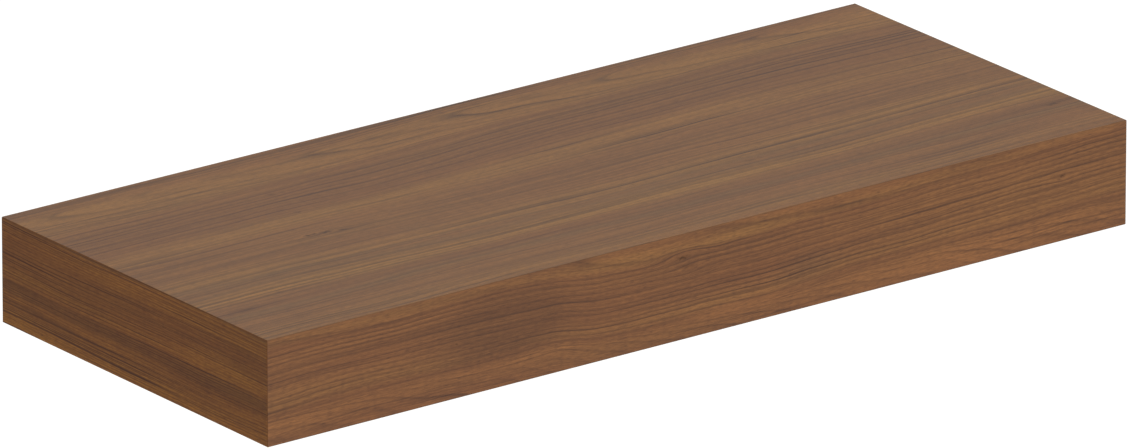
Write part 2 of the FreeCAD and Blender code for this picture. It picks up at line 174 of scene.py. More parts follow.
@dataclass(frozen=True)
class Streaks:
    """Uneven streaks that follow the grain of a piece of wood.

    Attributes:
        length, width: a streak's size in millimetres.
        detail: how many finer sets are laid over it.
        weight: how much the streaks count for.
        seed: tells them from the other streaks on the same piece of wood.
    """

    length: float
    width: float
    detail: float = 1.0
    weight: float = 1.0
    seed: float = 0.0

    def level(self, tree: Tree, wood: Socket, seed: float) -> Socket:
        """Draws the streaks.

        Args:
            tree: the material's node tree.
            wood: the place on the wood in millimetres, X along the grain and Y across it.
            seed: tells one piece of wood from another.

        Returns:
            A level about 0, mostly within 0.3 of it.
        """
        scale = (1 / self.length, 1 / self.width, 1.0)
        scaled = add(tree, "VectorMath", {0: wood, 1: scale}, operation="MULTIPLY")
        feeds = {"Vector": scaled, "W": seed + self.seed, "Scale": 1.0, "Detail": self.detail}
        noise = add(tree, "TexNoise", feeds, noise_dimensions="4D")
        return add(tree, "Math", {0: noise, 1: 0.5}, operation="SUBTRACT")


# Finishes


@dataclass(frozen=True)
class Finish:
    """What a surface is made of and how it was made."""

    name: str

    def paint(self, tree: Tree) -> Feeds:
        """Adds the finish's own nodes and returns what the Principled shader's inputs get."""
        raise NotImplementedError

    def material(self) -> bpy.types.Material:
        """Makes a material of the finish.

        Returns:
            The material.
        """
        made = bpy.data.materials.new(self.name)
        made.use_nodes = True
        tree = made.node_tree
        feed(tree.nodes["Principled BSDF"], self.paint(tree))
        return made


class Tone(Enum):
    """Colours of black walnut heartwood under a clear satin lacquer, without its dark lines."""

    DUSK = "#694934"
    SMOKE = "#6F513A"
    PLUM = "#734F37"
    COCOA = "#795439"
    HAZEL = "#7F5A3B"
    HONEY = "#86603D"
    CLAY = "#875D3D"


LATE_WOOD = "#45332C"  # the dense wood that ends each ring, and the shade in pores and glue
RED_LATE_WOOD = "#452C26"  # the same in a leaf whose dense wood is redder
KNOT_HEART = "#36251C"  # the bark and resin in a pin knot

# How black walnut grows, which is the same in every leaf. Lengths are millimetres.

WANDER = (  # how the grain strays from straight
    Streaks(length=400, width=110, weight=24),
    Streaks(length=110, width=30, weight=7),
    Streaks(length=28, width=8, weight=1.2),
)
FIBRES = (  # how the fibres lighten and darken the wood, at every scale that shows
    Streaks(length=260, width=7, detail=3, weight=0.5, seed=260),
    Streaks(length=24, width=0.9, detail=3, weight=0.65, seed=24),
    Streaks(length=5, width=0.7, detail=3, weight=0.9, seed=5),
    Streaks(length=12, width=36, detail=3, weight=0.18, seed=12),
)
PATCHES = Streaks(length=130, width=24, detail=2, seed=0.2)  # where the wood leans to red or tan
GREEN_LEAN = -0.8  # how far green leans where red does
LICKS = Streaks(length=150, width=9, detail=3, seed=0.5)  # the tongues along a band's edge

# How dark the wood is from a ring's start to its end.
RING_PROFILE = ((0.0, 0.35), (0.12, 0.0), (0.45, 0.12), (0.75, 0.55), (0.9, 1.0), (1.0, 0.35))
RING_ODDS = 1.5  # the higher, the fewer rings end in a strong line
RING_RUN = 5  # how many rings a spell of wide or narrow years takes
RING_DRIFT = 3.0  # how many rings a spell may add
FADING = Streaks(length=110, width=6, detail=2, weight=2, seed=0.3)  # where a line fades and swells
LINE_LEVEL = 0.9  # a line where it does neither
VEINS = Streaks(length=150, width=1 / 3, seed=0.7)  # the thin lines between, their width in rings
VEIN_LEVELS = (0.04, 0.24)  # the streak at which a vein starts, and is whole

ARCH_WAVE = Streaks(length=1.6, width=24, weight=1.4, seed=0.9)  # its length counts in arches
ARM_GAP = 0.5  # how near an arm comes to its line
CROWN_EDGE = 3.0  # over which a crown passes into straight rings
CROWN_CONTRAST = 1.3  # the higher, the thinner its lines

KNOT_REACH = (5, 4)  # how far the grain parts round a knot, in its own lengths and widths
KNOT_PARTING = -0.8  # the share of its distance from the knot that the grain moves by
KNOT_TEAR = (9.0, 5.0, 0.0)  # how far the edge of a knot's heart is torn, along and across
KNOT_TEARS = 0.35  # to a millimetre

PORES = Streaks(length=4.5, width=0.25, detail=0)  # in the wood 0.15 mm wide, too fine to show
PORE_LEVELS = (0.09, 0.19)  # the streak at which a pore starts to open, and is open
PORE_DARKNESS = 0.4
FILM_SINK = 0.02  # how far the lacquer sinks over a pore
LINE_SINK = 0.35  # how far it does over a ring line, beside a pore

GLUE_WIDTH = 0.2
GLUE_DARKNESS = 0.6
OPEN_EDGE = (0.3, 0.6)  # how far from the wall the line of glue starts, and is whole


@dataclass(frozen=True)
class Spot:
    """An oval place on a leaf. In millimetres, its middle from the leaf's corner."""

    along: float
    across: float
    length: float
    width: float


@dataclass(frozen=True)
class Knot(Spot):
    """A pin knot, which the grain parts round."""

    darkness: float = 0.6


@dataclass(frozen=True)
class Cloud(Spot):
    """A soft patch of another tone."""

    tone: Tone
    strength: float = 0.7


@dataclass(frozen=True)
class Bend:
    """A place where the grain steps aside. In millimetres.

    Attributes:
        along: where it begins, along the leaf.
        length: how long the step takes.
        aside: how far the grain moves, towards the leaf's far edge if it is more than nothing.
    """

    along: float
    length: float
    aside: float


@dataclass(frozen=True)
class Crown:
    """Crown figure: rings cut at a shallow angle, in arches whose arms close in on straight lines.

    Attributes:
        between: the strip that it fills, in millimetres across the leaf.
        arms: each line's place across the leaf, and how far along the grain an arm takes to come
            in to it by two thirds, less than nothing if it does so towards the leaf's start.
        pitch: from one arch to the next along the grain, in millimetres.
        darkness: how dark its lines are, beside the leaf's other ring lines.
        first_ring: where the count of its rings begins, which picks the strong ones among them.
    """

    between: tuple[float, float]
    arms: tuple[tuple[float, float], ...]
    pitch: float
    darkness: float = 0.8
    first_ring: int = 0


@dataclass(frozen=True)
class WalnutVeneer(Finish):
    """Sliced black walnut veneer, sanded and lacquered: dark ring lines a few millimetres apart in
    bands of brown, grey, plum and honey, fine open pores, and a soft satin sheen.

    Attributes:
        along: the grain's direction.
        across: the direction across it.
        ring: between ring lines, in millimetres.
        bands: the tone at each distance across the grain.
        knots, clouds, crowns, bends: the leaf's figure.
        first_ring: where the count of rings begins, which picks the strong ones among them.
        cast: the leaf's share of red, green and blue beside the other leaves.
        sway: how much the grain wanders, beside a leaf of the usual kind.
        line_strength: how dark the ring lines are.
        line_range: how dark the weakest and the strongest of them are, beside the rest.
        vein_strength: how dark the thin lines between them are, beside the ring lines.
        flame: how far the bands' edges lick over one another, in millimetres.
        fade: how far a ring line runs before it fades, in millimetres.
        stain: how much the wood turns from red to tan and back.
        fibres: how much the fibres lighten and darken the wood's red, green and blue.
        late_wood: the colour of the leaf's ring lines.
        seed: tells one leaf from another.
        corner: the leaf's corner, as distances along the grain and across it in millimetres.
        size: its length and its width, in millimetres.
    """

    along: Triple
    across: Triple
    ring: float
    bands: tuple[tuple[float, Tone], ...]
    knots: tuple[Knot, ...] = ()
    clouds: tuple[Cloud, ...] = ()
    crowns: tuple[Crown, ...] = ()
    bends: tuple[Bend, ...] = ()
    first_ring: int = 0
    cast: Triple = (1.0, 1.0, 1.0)
    sway: float = 1.0
    line_strength: float = 0.5
    line_range: tuple[float, float] = (0.3, 1.1)
    vein_strength: float = 0.4
    flame: float = 20.0
    fade: float = FADING.length
    stain: float = 0.05
    fibres: Triple = (1.0, 0.95, 0.55)
    late_wood: str = LATE_WOOD
    seed: float = 0.0
    corner: tuple[float, float] = (0.0, 0.0)
    size: tuple[float, float] = (1.0, 1.0)

    def cut_for(self, node: str) -> WalnutVeneer:
        """Cuts the leaf to cover a face.

        Args:
            node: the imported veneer.

        Returns:
            The same leaf with its corner and its size.
        """
        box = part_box(node)
        ways = (Vector(self.along), Vector(self.across))
        spans = [sorted(point.dot(way) / MM for point in box) for way in ways]
        corner = tuple(low for low, _ in spans)
        size = tuple(high - low for low, high in spans)
        return replace(self, corner=corner, size=size)

    def flat(self, tree: Tree) -> Socket:
        """Measures places on the leaf.

        Args:
            tree: the material's node tree.

        Returns:
            The place in millimetres, X along the grain and Y across it.
        """
        ways = distances(tree, (self.along, self.across))
        places = [
            add(tree, "Math", {0: distance, 1: start}, operation="SUBTRACT")
            for distance, start in zip(ways, self.corner)
        ]
        return add(tree, "CombineXYZ", {"X": places[0], "Y": places[1]})

    def nearness(self, tree: Tree, leaf: Socket, spot: Spot) -> tuple[Socket, Socket]:
        """Measures how near a point is to the middle of a spot.

        Args:
            tree: the material's node tree.
            leaf: the place on the leaf.
            spot: the spot.

        Returns:
            The offset from its middle in millimetres, and a level from 1 there to 0 at its edge.
        """
        middle = (spot.along, spot.across, 0.0)
        offset = add(tree, "VectorMath", {0: leaf, 1: middle}, operation="SUBTRACT")
        halves = (2 / spot.length, 2 / spot.width, 0.0)
        scaled = add(tree, "VectorMath", {0: offset, 1: halves}, operation="MULTIPLY")
        distance = add(tree, "VectorMath", {0: scaled}, "Value", operation="LENGTH")
        feeds = {"Value": distance, "To Min": 1.0, "To Max": 0.0}
        return offset, add(tree, "MapRange", feeds, interpolation_type="SMOOTHSTEP")

    def grown(self, tree: Tree, leaf: Socket) -> Socket:
        """Lets the grain part at knots, bend and wander.

        Args:
            tree: the material's node tree.
            leaf: the place on the leaf.

        Returns:
            The same place once its grain is pulled straight, as the rings and bands are laid out.
        """
        for knot in self.knots:
            long, wide = KNOT_REACH
            reach = Spot(knot.along, knot.across, long * knot.length, wide * knot.width)
            offset, near = self.nearness(tree, leaf, reach)
            parting = (0.0, KNOT_PARTING, 0.0)
            aside = add(tree, "VectorMath", {0: offset, 1: parting}, operation="MULTIPLY")
            shift = add(tree, "VectorMath", {0: aside, "Scale": near}, operation="SCALE")
            leaf = add(tree, "VectorMath", {0: leaf, 1: shift}, operation="ADD")
        along = add(tree, "SeparateXYZ", {0: leaf}, "X")
        for bend in self.bends:
            end = bend.along + bend.length
            feeds = {"Value": along, "From Min": bend.along, "From Max": end, "To Max": -bend.aside}
            aside = add(tree, "MapRange", feeds, interpolation_type="SMOOTHSTEP")
            shift = add(tree, "CombineXYZ", {"Y": aside})
            leaf = add(tree, "VectorMath", {0: leaf, 1: shift}, operation="ADD")
        for streaks in WANDER:
            wander = streaks.level(tree, leaf, self.seed)
            aside = (0.0, self.sway * streaks.weight, 0.0)
            shift = add(tree, "VectorMath", {0: aside, "Scale": wander}, operation="SCALE")
            leaf = add(tree, "VectorMath", {0: leaf, 1: shift}, operation="ADD")
        return leaf

    def ring_lines(self, tree: Tree, count: Socket) -> Socket:
        """Draws dark lines where each ring ends, some stronger than others.

        Args:
            tree: the material's node tree.
            count: how many rings lie before the point, with the share of its own ring.

        Returns:
            A level from 0 between lines to about 1 on a strong one.
        """
        share = add(tree, "Math", {0: count}, operation="FRACT")
        number = add(tree, "Math", {0: count}, operation="FLOOR")
        line = add(tree, "ValToRGB", {"Fac": share}, stops=RING_PROFILE)
        chance = add(tree, "TexWhiteNoise", {"W": number}, noise_dimensions="1D")
        odds = add(tree, "Math", {0: chance, 1: RING_ODDS}, operation="POWER")
        weakest, strongest = self.line_range
        strength = add(tree, "MapRange", {"Value": odds, "To Min": weakest, "To Max": strongest})
        return add(tree, "Math", {0: line, 1: strength}, operation="MULTIPLY")

    def straight_rings(self, tree: Tree, across: Socket) -> Socket:
        """Draws rings that run along the leaf, some years wide and some narrow.

        Args:
            tree: the material's node tree.
            across: the place across the grain.

        Returns:
            The level of their lines.
        """
        run = 1 / (RING_RUN * self.ring)
        years = add(tree, "Math", {0: across, 1: run, 2: self.seed}, operation="MULTIPLY_ADD")
        spell = {"W": years, "Scale": 1.0, "Detail": 1.0}
        uneven = add(tree, "TexNoise", spell, noise_dimensions="1D")
        start = self.seed + self.first_ring
        spaced = add(tree, "Math", {0: uneven, 1: RING_DRIFT, 2: start}, operation="MULTIPLY_ADD")
        count = add(tree, "Math", {0: across, 1: 1 / self.ring, 2: spaced}, operation="MULTIPLY_ADD")
        return self.ring_lines(tree, count)

    def crown_rings(
        self, tree: Tree, along: Socket, across: Socket, crown: Crown
    ) -> tuple[Socket, Socket]:
        """Draws rings that sweep in from the side.

        Args:
            tree: the material's node tree.
            along: the place along the grain.
            across: the place across it.
            crown: the figure.

        Returns:
            The level of its lines, and how much of the point lies in its strip.
        """
        place = add(tree, "CombineXYZ", {"X": along, "Y": across})
        wave = replace(ARCH_WAVE, length=ARCH_WAVE.length * crown.pitch)
        uneven = wave.level(tree, place, self.seed)
        jumps = {0: uneven, 1: wave.weight, 2: crown.first_ring}
        start = add(tree, "Math", jumps, operation="MULTIPLY_ADD")
        count = add(tree, "Math", {0: along, 1: 1 / crown.pitch, 2: start}, operation="MULTIPLY_ADD")
        for line, sweep in crown.arms:
            off = add(tree, "Math", {0: across, 1: line}, operation="SUBTRACT")
            gap = add(tree, "Math", {0: off}, operation="ABSOLUTE")
            clear = add(tree, "Math", {0: gap, 1: ARM_GAP}, operation="MAXIMUM")
            closing = add(tree, "Math", {0: clear, 1: math.e}, operation="LOGARITHM")
            swept = {0: closing, 1: sweep / crown.pitch, 2: count}
            count = add(tree, "Math", swept, operation="MULTIPLY_ADD")
        first, last = crown.between
        middle, half = (first + last) / 2, (last - first) / 2
        off = add(tree, "Math", {0: across, 1: middle}, operation="SUBTRACT")
        out = add(tree, "Math", {0: off}, operation="ABSOLUTE")
        edge = {"Value": out, "From Min": half, "From Max": half - CROWN_EDGE}
        inside = add(tree, "MapRange", edge, interpolation_type="SMOOTHSTEP")
        soft = self.ring_lines(tree, count)
        lines = add(tree, "Math", {0: soft, 1: CROWN_CONTRAST}, operation="POWER")
        return add(tree, "Math", {0: lines, 1: crown.darkness}, operation="MULTIPLY"), inside

    def rings(self, tree: Tree, leaf: Socket) -> Socket:
        """Draws all the leaf's dark lines: rings, crowns and the veins between them.

        Args:
            tree: the material's node tree.
            leaf: the place on the leaf, once grown.

        Returns:
            The level of the lines.
        """
        place = add(tree, "SeparateXYZ", {0: leaf}, "X").node.outputs
        level = self.straight_rings(tree, place["Y"])
        for crown in self.crowns:
            swept, inside = self.crown_rings(tree, place["X"], place["Y"], crown)
            level = add(tree, "Mix", {0: inside, 2: level, 3: swept}, data_type="FLOAT")
        fading = replace(FADING, length=self.fade).level(tree, leaf, self.seed)
        swell = {0: fading, 1: FADING.weight, 2: LINE_LEVEL}
        strength = add(tree, "Math", swell, operation="MULTIPLY_ADD")
        level = add(tree, "Math", {0: level, 1: strength}, operation="MULTIPLY", use_clamp=True)
        vein = replace(VEINS, width=VEINS.width * self.ring).level(tree, leaf, self.seed)
        start, whole = VEIN_LEVELS
        thin = add(tree, "MapRange", {"Value": vein, "From Min": start, "From Max": whole})
        return add(tree, "Math", {0: thin, 1: self.vein_strength, 2: level}, operation="MULTIPLY_ADD")

    def tones(self, tree: Tree, leaf: Socket) -> Socket:
        """Lays out the leaf's bands and clouds.

        Args:
            tree: the material's node tree.
            leaf: the place on the leaf, once grown.

        Returns:
            Their colour.
        """
        flame = LICKS.level(tree, leaf, self.seed)
        across = add(tree, "SeparateXYZ", {0: leaf}, "Y")
        licked = add(tree, "Math", {0: flame, 1: self.flame, 2: across}, operation="MULTIPLY_ADD")
        width = self.size[1]
        share = add(tree, "Math", {0: licked, 1: 1 / width}, operation="MULTIPLY")
        stops = tuple((place / width, linear(tone.value)) for place, tone in self.bands)
        colour = add(tree, "ValToRGB", {"Fac": share}, stops=stops)
        for cloud in self.clouds:
            _, near = self.nearness(tree, leaf, cloud)
            colour = lay(tree, colour, near, cloud.strength, linear(cloud.tone.value))
        return colour

    def early_wood(self, tree: Tree, leaf: Socket) -> Socket:
        """Colours the wood between the dark lines.

        Args:
            tree: the material's node tree.
            leaf: the place on the leaf, once grown.

        Returns:
            Its colour: the bands and clouds in broad patches of red and tan, with their fibres.
        """
        turn = PATCHES.level(tree, leaf, self.seed)
        lean = (self.stain, GREEN_LEAN * self.stain, 0.0)
        cast = add(tree, "VectorMath", {0: turn, 1: lean, 2: self.cast}, operation="MULTIPLY_ADD")
        colour = add(tree, "VectorMath", {0: self.tones(tree, leaf), 1: cast}, operation="MULTIPLY")
        light: Socket | float = 0.0
        for streaks in FIBRES:
            fibre = streaks.level(tree, leaf, self.seed)
            light = add(tree, "Math", {0: fibre, 1: streaks.weight, 2: light}, operation="MULTIPLY_ADD")
        lit = {0: light, 1: self.fibres, 2: (1.0, 1.0, 1.0)}
        shares = add(tree, "VectorMath", lit, operation="MULTIPLY_ADD")
        return add(tree, "VectorMath", {0: colour, 1: shares}, operation="MULTIPLY")

    def knotted(self, tree: Tree, flat: Socket, colour: Socket) -> Socket:
        """Sets the dark hearts of the knots in the wood, with torn edges.

        Args:
            tree: the material's node tree.
            flat: the place on the leaf.
            colour: the wood's colour.

        Returns:
            The colour with the knots in it.
        """
        feeds = {"Vector": flat, "W": self.seed, "Scale": KNOT_TEARS, "Detail": 2.0}
        rag = add(tree, "TexNoise", feeds, "Color", noise_dimensions="4D")
        tear = add(tree, "VectorMath", {0: rag, 1: (0.5, 0.5, 0.5)}, operation="SUBTRACT")
        torn = add(tree, "VectorMath", {0: tear, 1: KNOT_TEAR, 2: flat}, operation="MULTIPLY_ADD")
        for knot in self.knots:
            _, near = self.nearness(tree, torn, knot)
            colour = lay(tree, colour, near, knot.darkness, linear(KNOT_HEART))
        return colour

    def seams(self, tree: Tree, flat: Socket) -> Socket:
        """Draws the fine line of glue along the leaf's edges, where it is mitred to the next. The
        edges at the wall have none, because the box is open there.

        Args:
            tree: the material's node tree.
            flat: the place on the leaf.

        Returns:
            The level of the line.
        """
        halves = tuple(extent / 2 for extent in self.size)
        off = add(tree, "VectorMath", {0: flat, 1: (*halves, 0.0)}, operation="SUBTRACT")
        out = add(tree, "VectorMath", {0: off}, operation="ABSOLUTE")
        parts = add(tree, "SeparateXYZ", {0: out}, "X").node.outputs
        near = [
            add(tree, "MapRange", {"Value": part, "From Min": half - GLUE_WIDTH, "From Max": half})
            for part, half in zip((parts["X"], parts["Y"]), halves)
        ]
        line = add(tree, "Math", {0: near[0], 1: near[1]}, operation="MAXIMUM")
        point = add(tree, "TexCoord", output="Object")
        depth = add(tree, "SeparateXYZ", {0: point}, "Y")
        start, whole = (-distance * MM for distance in OPEN_EDGE)
        off_wall = add(tree, "MapRange", {"Value": depth, "From Min": start, "From Max": whole})
        return add(tree, "Math", {0: line, 1: off_wall}, operation="MULTIPLY")

    def paint(self, tree: Tree) -> Feeds:
        """Adds the leaf's figure, its pores, knots and seams, and the lacquer over them.

        Args:
            tree: the material's node tree.

        Returns:
            What the Principled shader's inputs get.
        """
        flat = self.flat(tree)
        leaf = self.grown(tree, flat)
        late = tuple(share * part for share, part in zip(linear(self.late_wood), self.cast))
        lines = self.rings(tree, leaf)
        colour = lay(tree, self.early_wood(tree, leaf), lines, self.line_strength, late)
        pore = PORES.level(tree, leaf, self.seed)
        start, whole = PORE_LEVELS
        opened = add(tree, "MapRange", {"Value": pore, "From Min": start, "From Max": whole})
        colour = lay(tree, colour, opened, PORE_DARKNESS, late)
        colour = self.knotted(tree, flat, colour)
        colour = lay(tree, colour, self.seams(tree, flat), GLUE_DARKNESS, late)

        # The lacquer levels the wood but sinks a little over ring lines and pores.
        sunk = add(tree, "Math", {0: lines, 1: LINE_SINK, 2: opened}, operation="MULTIPLY_ADD")
        film = {"Height": sunk, "Distance": FILM_SINK * MM, "Strength": 0.6}
        return {
            "Base Color": colour,
            "Normal": add(tree, "Bump", film, invert=True),
            "Roughness": 0.45,
            "IOR": 1.5,
            "Specular IOR Level": 0.08,
        }


# Leaf by leaf, in millimetres. The top and the underside are measured from the left end and from
# the wall, the front from the left end and from its upper edge, and the ends from the wall and from
# their upper edge.

TOP_LEAF = WalnutVeneer(
    name="walnut_veneer_top",
    along=(1, 0, 0),
    across=(0, -1, 0),
    ring=4.6,
    bands=(
        (0, Tone.PLUM), (10, Tone.COCOA), (15, Tone.HAZEL), (39, Tone.HAZEL), (46, Tone.PLUM),
        (53, Tone.COCOA), (61, Tone.PLUM), (87, Tone.PLUM), (97, Tone.HAZEL), (109, Tone.HAZEL),
        (117, Tone.COCOA), (151, Tone.COCOA), (160, Tone.HAZEL), (167, Tone.HAZEL),
        (171, Tone.SMOKE), (175, Tone.COCOA), (182, Tone.SMOKE), (186, Tone.HAZEL),
        (190, Tone.HONEY), (195, Tone.HONEY), (201, Tone.COCOA), (209, Tone.PLUM),
        (216, Tone.SMOKE), (223, Tone.COCOA), (236, Tone.COCOA), (244, Tone.HAZEL),
        (254, Tone.COCOA),
    ),
    knots=(
        Knot(along=121, across=129, length=11, width=3.4, darkness=0.85),
        Knot(along=131, across=131, length=12, width=2.8, darkness=0.75),
        Knot(along=142, across=133, length=9, width=3.2, darkness=0.85),
        Knot(along=592, across=207, length=16, width=5.0),
        Knot(along=20, across=206, length=16, width=4.0, darkness=0.4),
        Knot(along=144, across=62, length=4, width=1.6),
        Knot(along=138, across=94, length=6, width=1.6),
        Knot(along=396, across=179, length=12, width=2.4, darkness=0.5),
    ),
    clouds=(
        Cloud(along=500, across=155, length=400, width=26, tone=Tone.HONEY),
        Cloud(along=40, across=154, length=200, width=26, tone=Tone.HONEY, strength=0.6),
        Cloud(along=176, across=153, length=40, width=18, tone=Tone.SMOKE, strength=0.5),
        Cloud(along=560, across=55, length=300, width=26, tone=Tone.PLUM, strength=0.35),
        Cloud(along=540, across=32, length=330, width=22, tone=Tone.HONEY, strength=0.6),
        Cloud(along=250, across=190, length=420, width=16, tone=Tone.HONEY, strength=0.9),
        Cloud(along=540, across=8, length=320, width=24, tone=Tone.PLUM, strength=0.9),
        Cloud(along=190, across=101, length=300, width=18, tone=Tone.HONEY, strength=0.6),
        Cloud(along=560, across=101, length=260, width=26, tone=Tone.COCOA, strength=0.8),
        Cloud(along=270, across=119, length=130, width=18, tone=Tone.PLUM),
        Cloud(along=120, across=137, length=360, width=20, tone=Tone.HAZEL, strength=0.5),
    ),
    crowns=(Crown(between=(10, 46), arms=((11, 22), (48, 150)), pitch=54, darkness=0.85),),
    cast=(1.13, 1.14, 0.98),
    line_strength=0.85,
    vein_strength=0.7,
    seed=1.0,
)

FRONT_LEAF = WalnutVeneer(
    name="walnut_veneer_front",
    along=(1, 0, 0),
    across=(0, 0, -1),
    ring=3.4,
    bands=(
        (0, Tone.COCOA), (4, Tone.HAZEL), (9, Tone.PLUM), (14, Tone.COCOA), (20, Tone.COCOA),
        (29, Tone.PLUM), (34, Tone.COCOA), (42, Tone.HAZEL), (47, Tone.PLUM), (52, Tone.COCOA),
        (57, Tone.COCOA), (63.5, Tone.PLUM),
    ),
    knots=(
        Knot(along=289, across=14, length=12, width=4.0, darkness=0.75),
        Knot(along=293, across=20, length=14, width=5.0, darkness=0.25),
        Knot(along=563, across=24, length=7, width=2.4),
        Knot(along=130, across=31, length=5, width=1.6, darkness=0.6),
    ),
    clouds=(
        Cloud(along=190, across=26, length=370, width=50, tone=Tone.PLUM, strength=1.1),
        Cloud(along=165, across=28, length=140, width=58, tone=Tone.DUSK, strength=1.7),
        Cloud(along=320, across=25, length=220, width=36, tone=Tone.PLUM, strength=0.9),
        Cloud(along=250, across=2, length=130, width=11, tone=Tone.HONEY, strength=0.9),
        Cloud(along=340, across=4, length=110, width=12, tone=Tone.HONEY, strength=0.9),
        Cloud(along=540, across=1, length=190, width=10, tone=Tone.DUSK, strength=0.9),
        Cloud(along=520, across=30, length=330, width=66, tone=Tone.HAZEL, strength=0.75),
        Cloud(along=380, across=36, length=70, width=30, tone=Tone.SMOKE, strength=0.7),
        Cloud(along=170, across=53, length=160, width=8, tone=Tone.CLAY, strength=0.6),
        Cloud(along=330, across=48, length=120, width=9, tone=Tone.CLAY, strength=0.8),
        Cloud(along=15, across=55, length=120, width=18, tone=Tone.CLAY, strength=0.7),
        Cloud(along=510, across=57, length=330, width=24, tone=Tone.CLAY, strength=0.85),
    ),
    crowns=(
        Crown(between=(-5, 9), arms=((9, 60),), pitch=120),
        Crown(between=(48, 70), arms=((48, -60),), pitch=38, darkness=0.75, first_ring=2705),
    ),
    bends=(Bend(along=196, length=36, aside=2.8), Bend(along=240, length=370, aside=-4)),
    first_ring=1771,
    cast=(1.14, 1.11, 1.07),
    line_strength=0.8,
    line_range=(0.5, 1.0),
    vein_strength=0.55,
    flame=12.0,
    seed=2.0,
)

LEFT_END_LEAF = WalnutVeneer(
    name="walnut_veneer_left_end",
    along=(0, -1, 0),
    across=(0, 0, -1),
    ring=1.8,
    bands=(
        (0, Tone.DUSK), (1.4, Tone.SMOKE), (2.2, Tone.HAZEL), (10, Tone.HAZEL), (14, Tone.PLUM),
        (23, Tone.PLUM), (28, Tone.COCOA), (32, Tone.HAZEL), (36, Tone.COCOA), (38.5, Tone.DUSK),
        (43.5, Tone.DUSK), (46, Tone.COCOA), (51, Tone.COCOA), (55, Tone.HAZEL), (58, Tone.HONEY),
        (63.5, Tone.HONEY),
    ),
    clouds=(
        Cloud(along=20, across=9, length=110, width=26, tone=Tone.PLUM, strength=0.8),
        Cloud(along=215, across=28, length=110, width=26, tone=Tone.HONEY, strength=0.5),
        Cloud(along=12, across=38, length=70, width=6, tone=Tone.DUSK, strength=0.9),
        Cloud(along=160, across=40, length=190, width=5, tone=Tone.DUSK, strength=0.9),
        Cloud(along=205, across=44, length=120, width=4, tone=Tone.DUSK, strength=0.9),
        Cloud(along=50, across=50, length=120, width=9, tone=Tone.DUSK, strength=0.7),
    ),
    # Partly painted shade: the low green and blue darken and redden this end beyond what the lamps do, as the
    # end looks in shade.
    cast=(1.15, 0.93, 0.48),
    sway=0.4,
    line_strength=0.98,
    line_range=(0.45, 0.9),
    vein_strength=1.2,
    flame=7.0,
    fade=60.0,
    stain=0.1,
    fibres=(1.2, 1.5, 1.1),
    late_wood=RED_LATE_WOOD,
    seed=3.0,
)

RIGHT_END_LEAF = replace(
    LEFT_END_LEAF,
    name="walnut_veneer_right_end",
    ring=2.1,
    bands=(
        (0, Tone.PLUM), (5, Tone.COCOA), (12, Tone.HAZEL), (18, Tone.PLUM), (27, Tone.COCOA),
        (36, Tone.HONEY), (41, Tone.COCOA), (48, Tone.SMOKE), (54, Tone.COCOA), (63.5, Tone.HAZEL),
    ),
    clouds=(
        Cloud(along=60, across=30, length=130, width=30, tone=Tone.HAZEL),
        Cloud(along=180, across=14, length=120, width=14, tone=Tone.DUSK, strength=0.6),
    ),
    # Like the left end's, this cast is partly painted shade: lower green and blue than the top and front
    # leaves.
    cast=(1.15, 0.97, 0.6),
    line_strength=0.9,
    line_range=(0.3, 1.1),
    vein_strength=0.9,
    fibres=(1.1, 1.25, 0.85),
    seed=4.0,
)

BOTTOM_LEAF = replace(
    TOP_LEAF,
    name="walnut_veneer_underside",
    ring=4.2,
    bands=(
        (0, Tone.COCOA), (14, Tone.HAZEL), (22, Tone.COCOA), (30, Tone.PLUM), (44, Tone.COCOA),
        (52, Tone.HAZEL), (60, Tone.HONEY), (66, Tone.COCOA), (76, Tone.PLUM), (92, Tone.SMOKE),
        (98, Tone.COCOA), (106, Tone.HAZEL), (122, Tone.HAZEL), (129, Tone.HONEY),
        (136, Tone.HAZEL), (142, Tone.SMOKE), (150, Tone.COCOA), (170, Tone.PLUM),
        (188, Tone.COCOA), (203, Tone.HAZEL), (213, Tone.HAZEL), (218, Tone.SMOKE),
        (226, Tone.PLUM), (240, Tone.COCOA), (254, Tone.PLUM),
    ),
    knots=(
        Knot(along=402, across=182, length=14, width=4.0, darkness=0.75),
        Knot(along=414, across=185, length=9, width=2.8, darkness=0.6),
        Knot(along=96, across=112, length=9, width=3.0, darkness=0.7),
        Knot(along=231, across=35, length=6, width=2.0),
    ),
    clouds=(
        Cloud(along=200, across=60, length=260, width=30, tone=Tone.SMOKE, strength=0.6),
        Cloud(along=470, across=104, length=330, width=26, tone=Tone.HONEY, strength=0.8),
        Cloud(along=90, across=146, length=220, width=26, tone=Tone.PLUM, strength=0.8),
        Cloud(along=360, across=232, length=300, width=20, tone=Tone.HONEY),
        Cloud(along=520, across=36, length=220, width=28, tone=Tone.DUSK),
    ),
    crowns=(Crown(between=(140, 214), arms=((140, 60), (214, 120)), pitch=70, darkness=0.9),),
    cast=(1.13, 1.12, 1.0),
    seed=5.0,
)


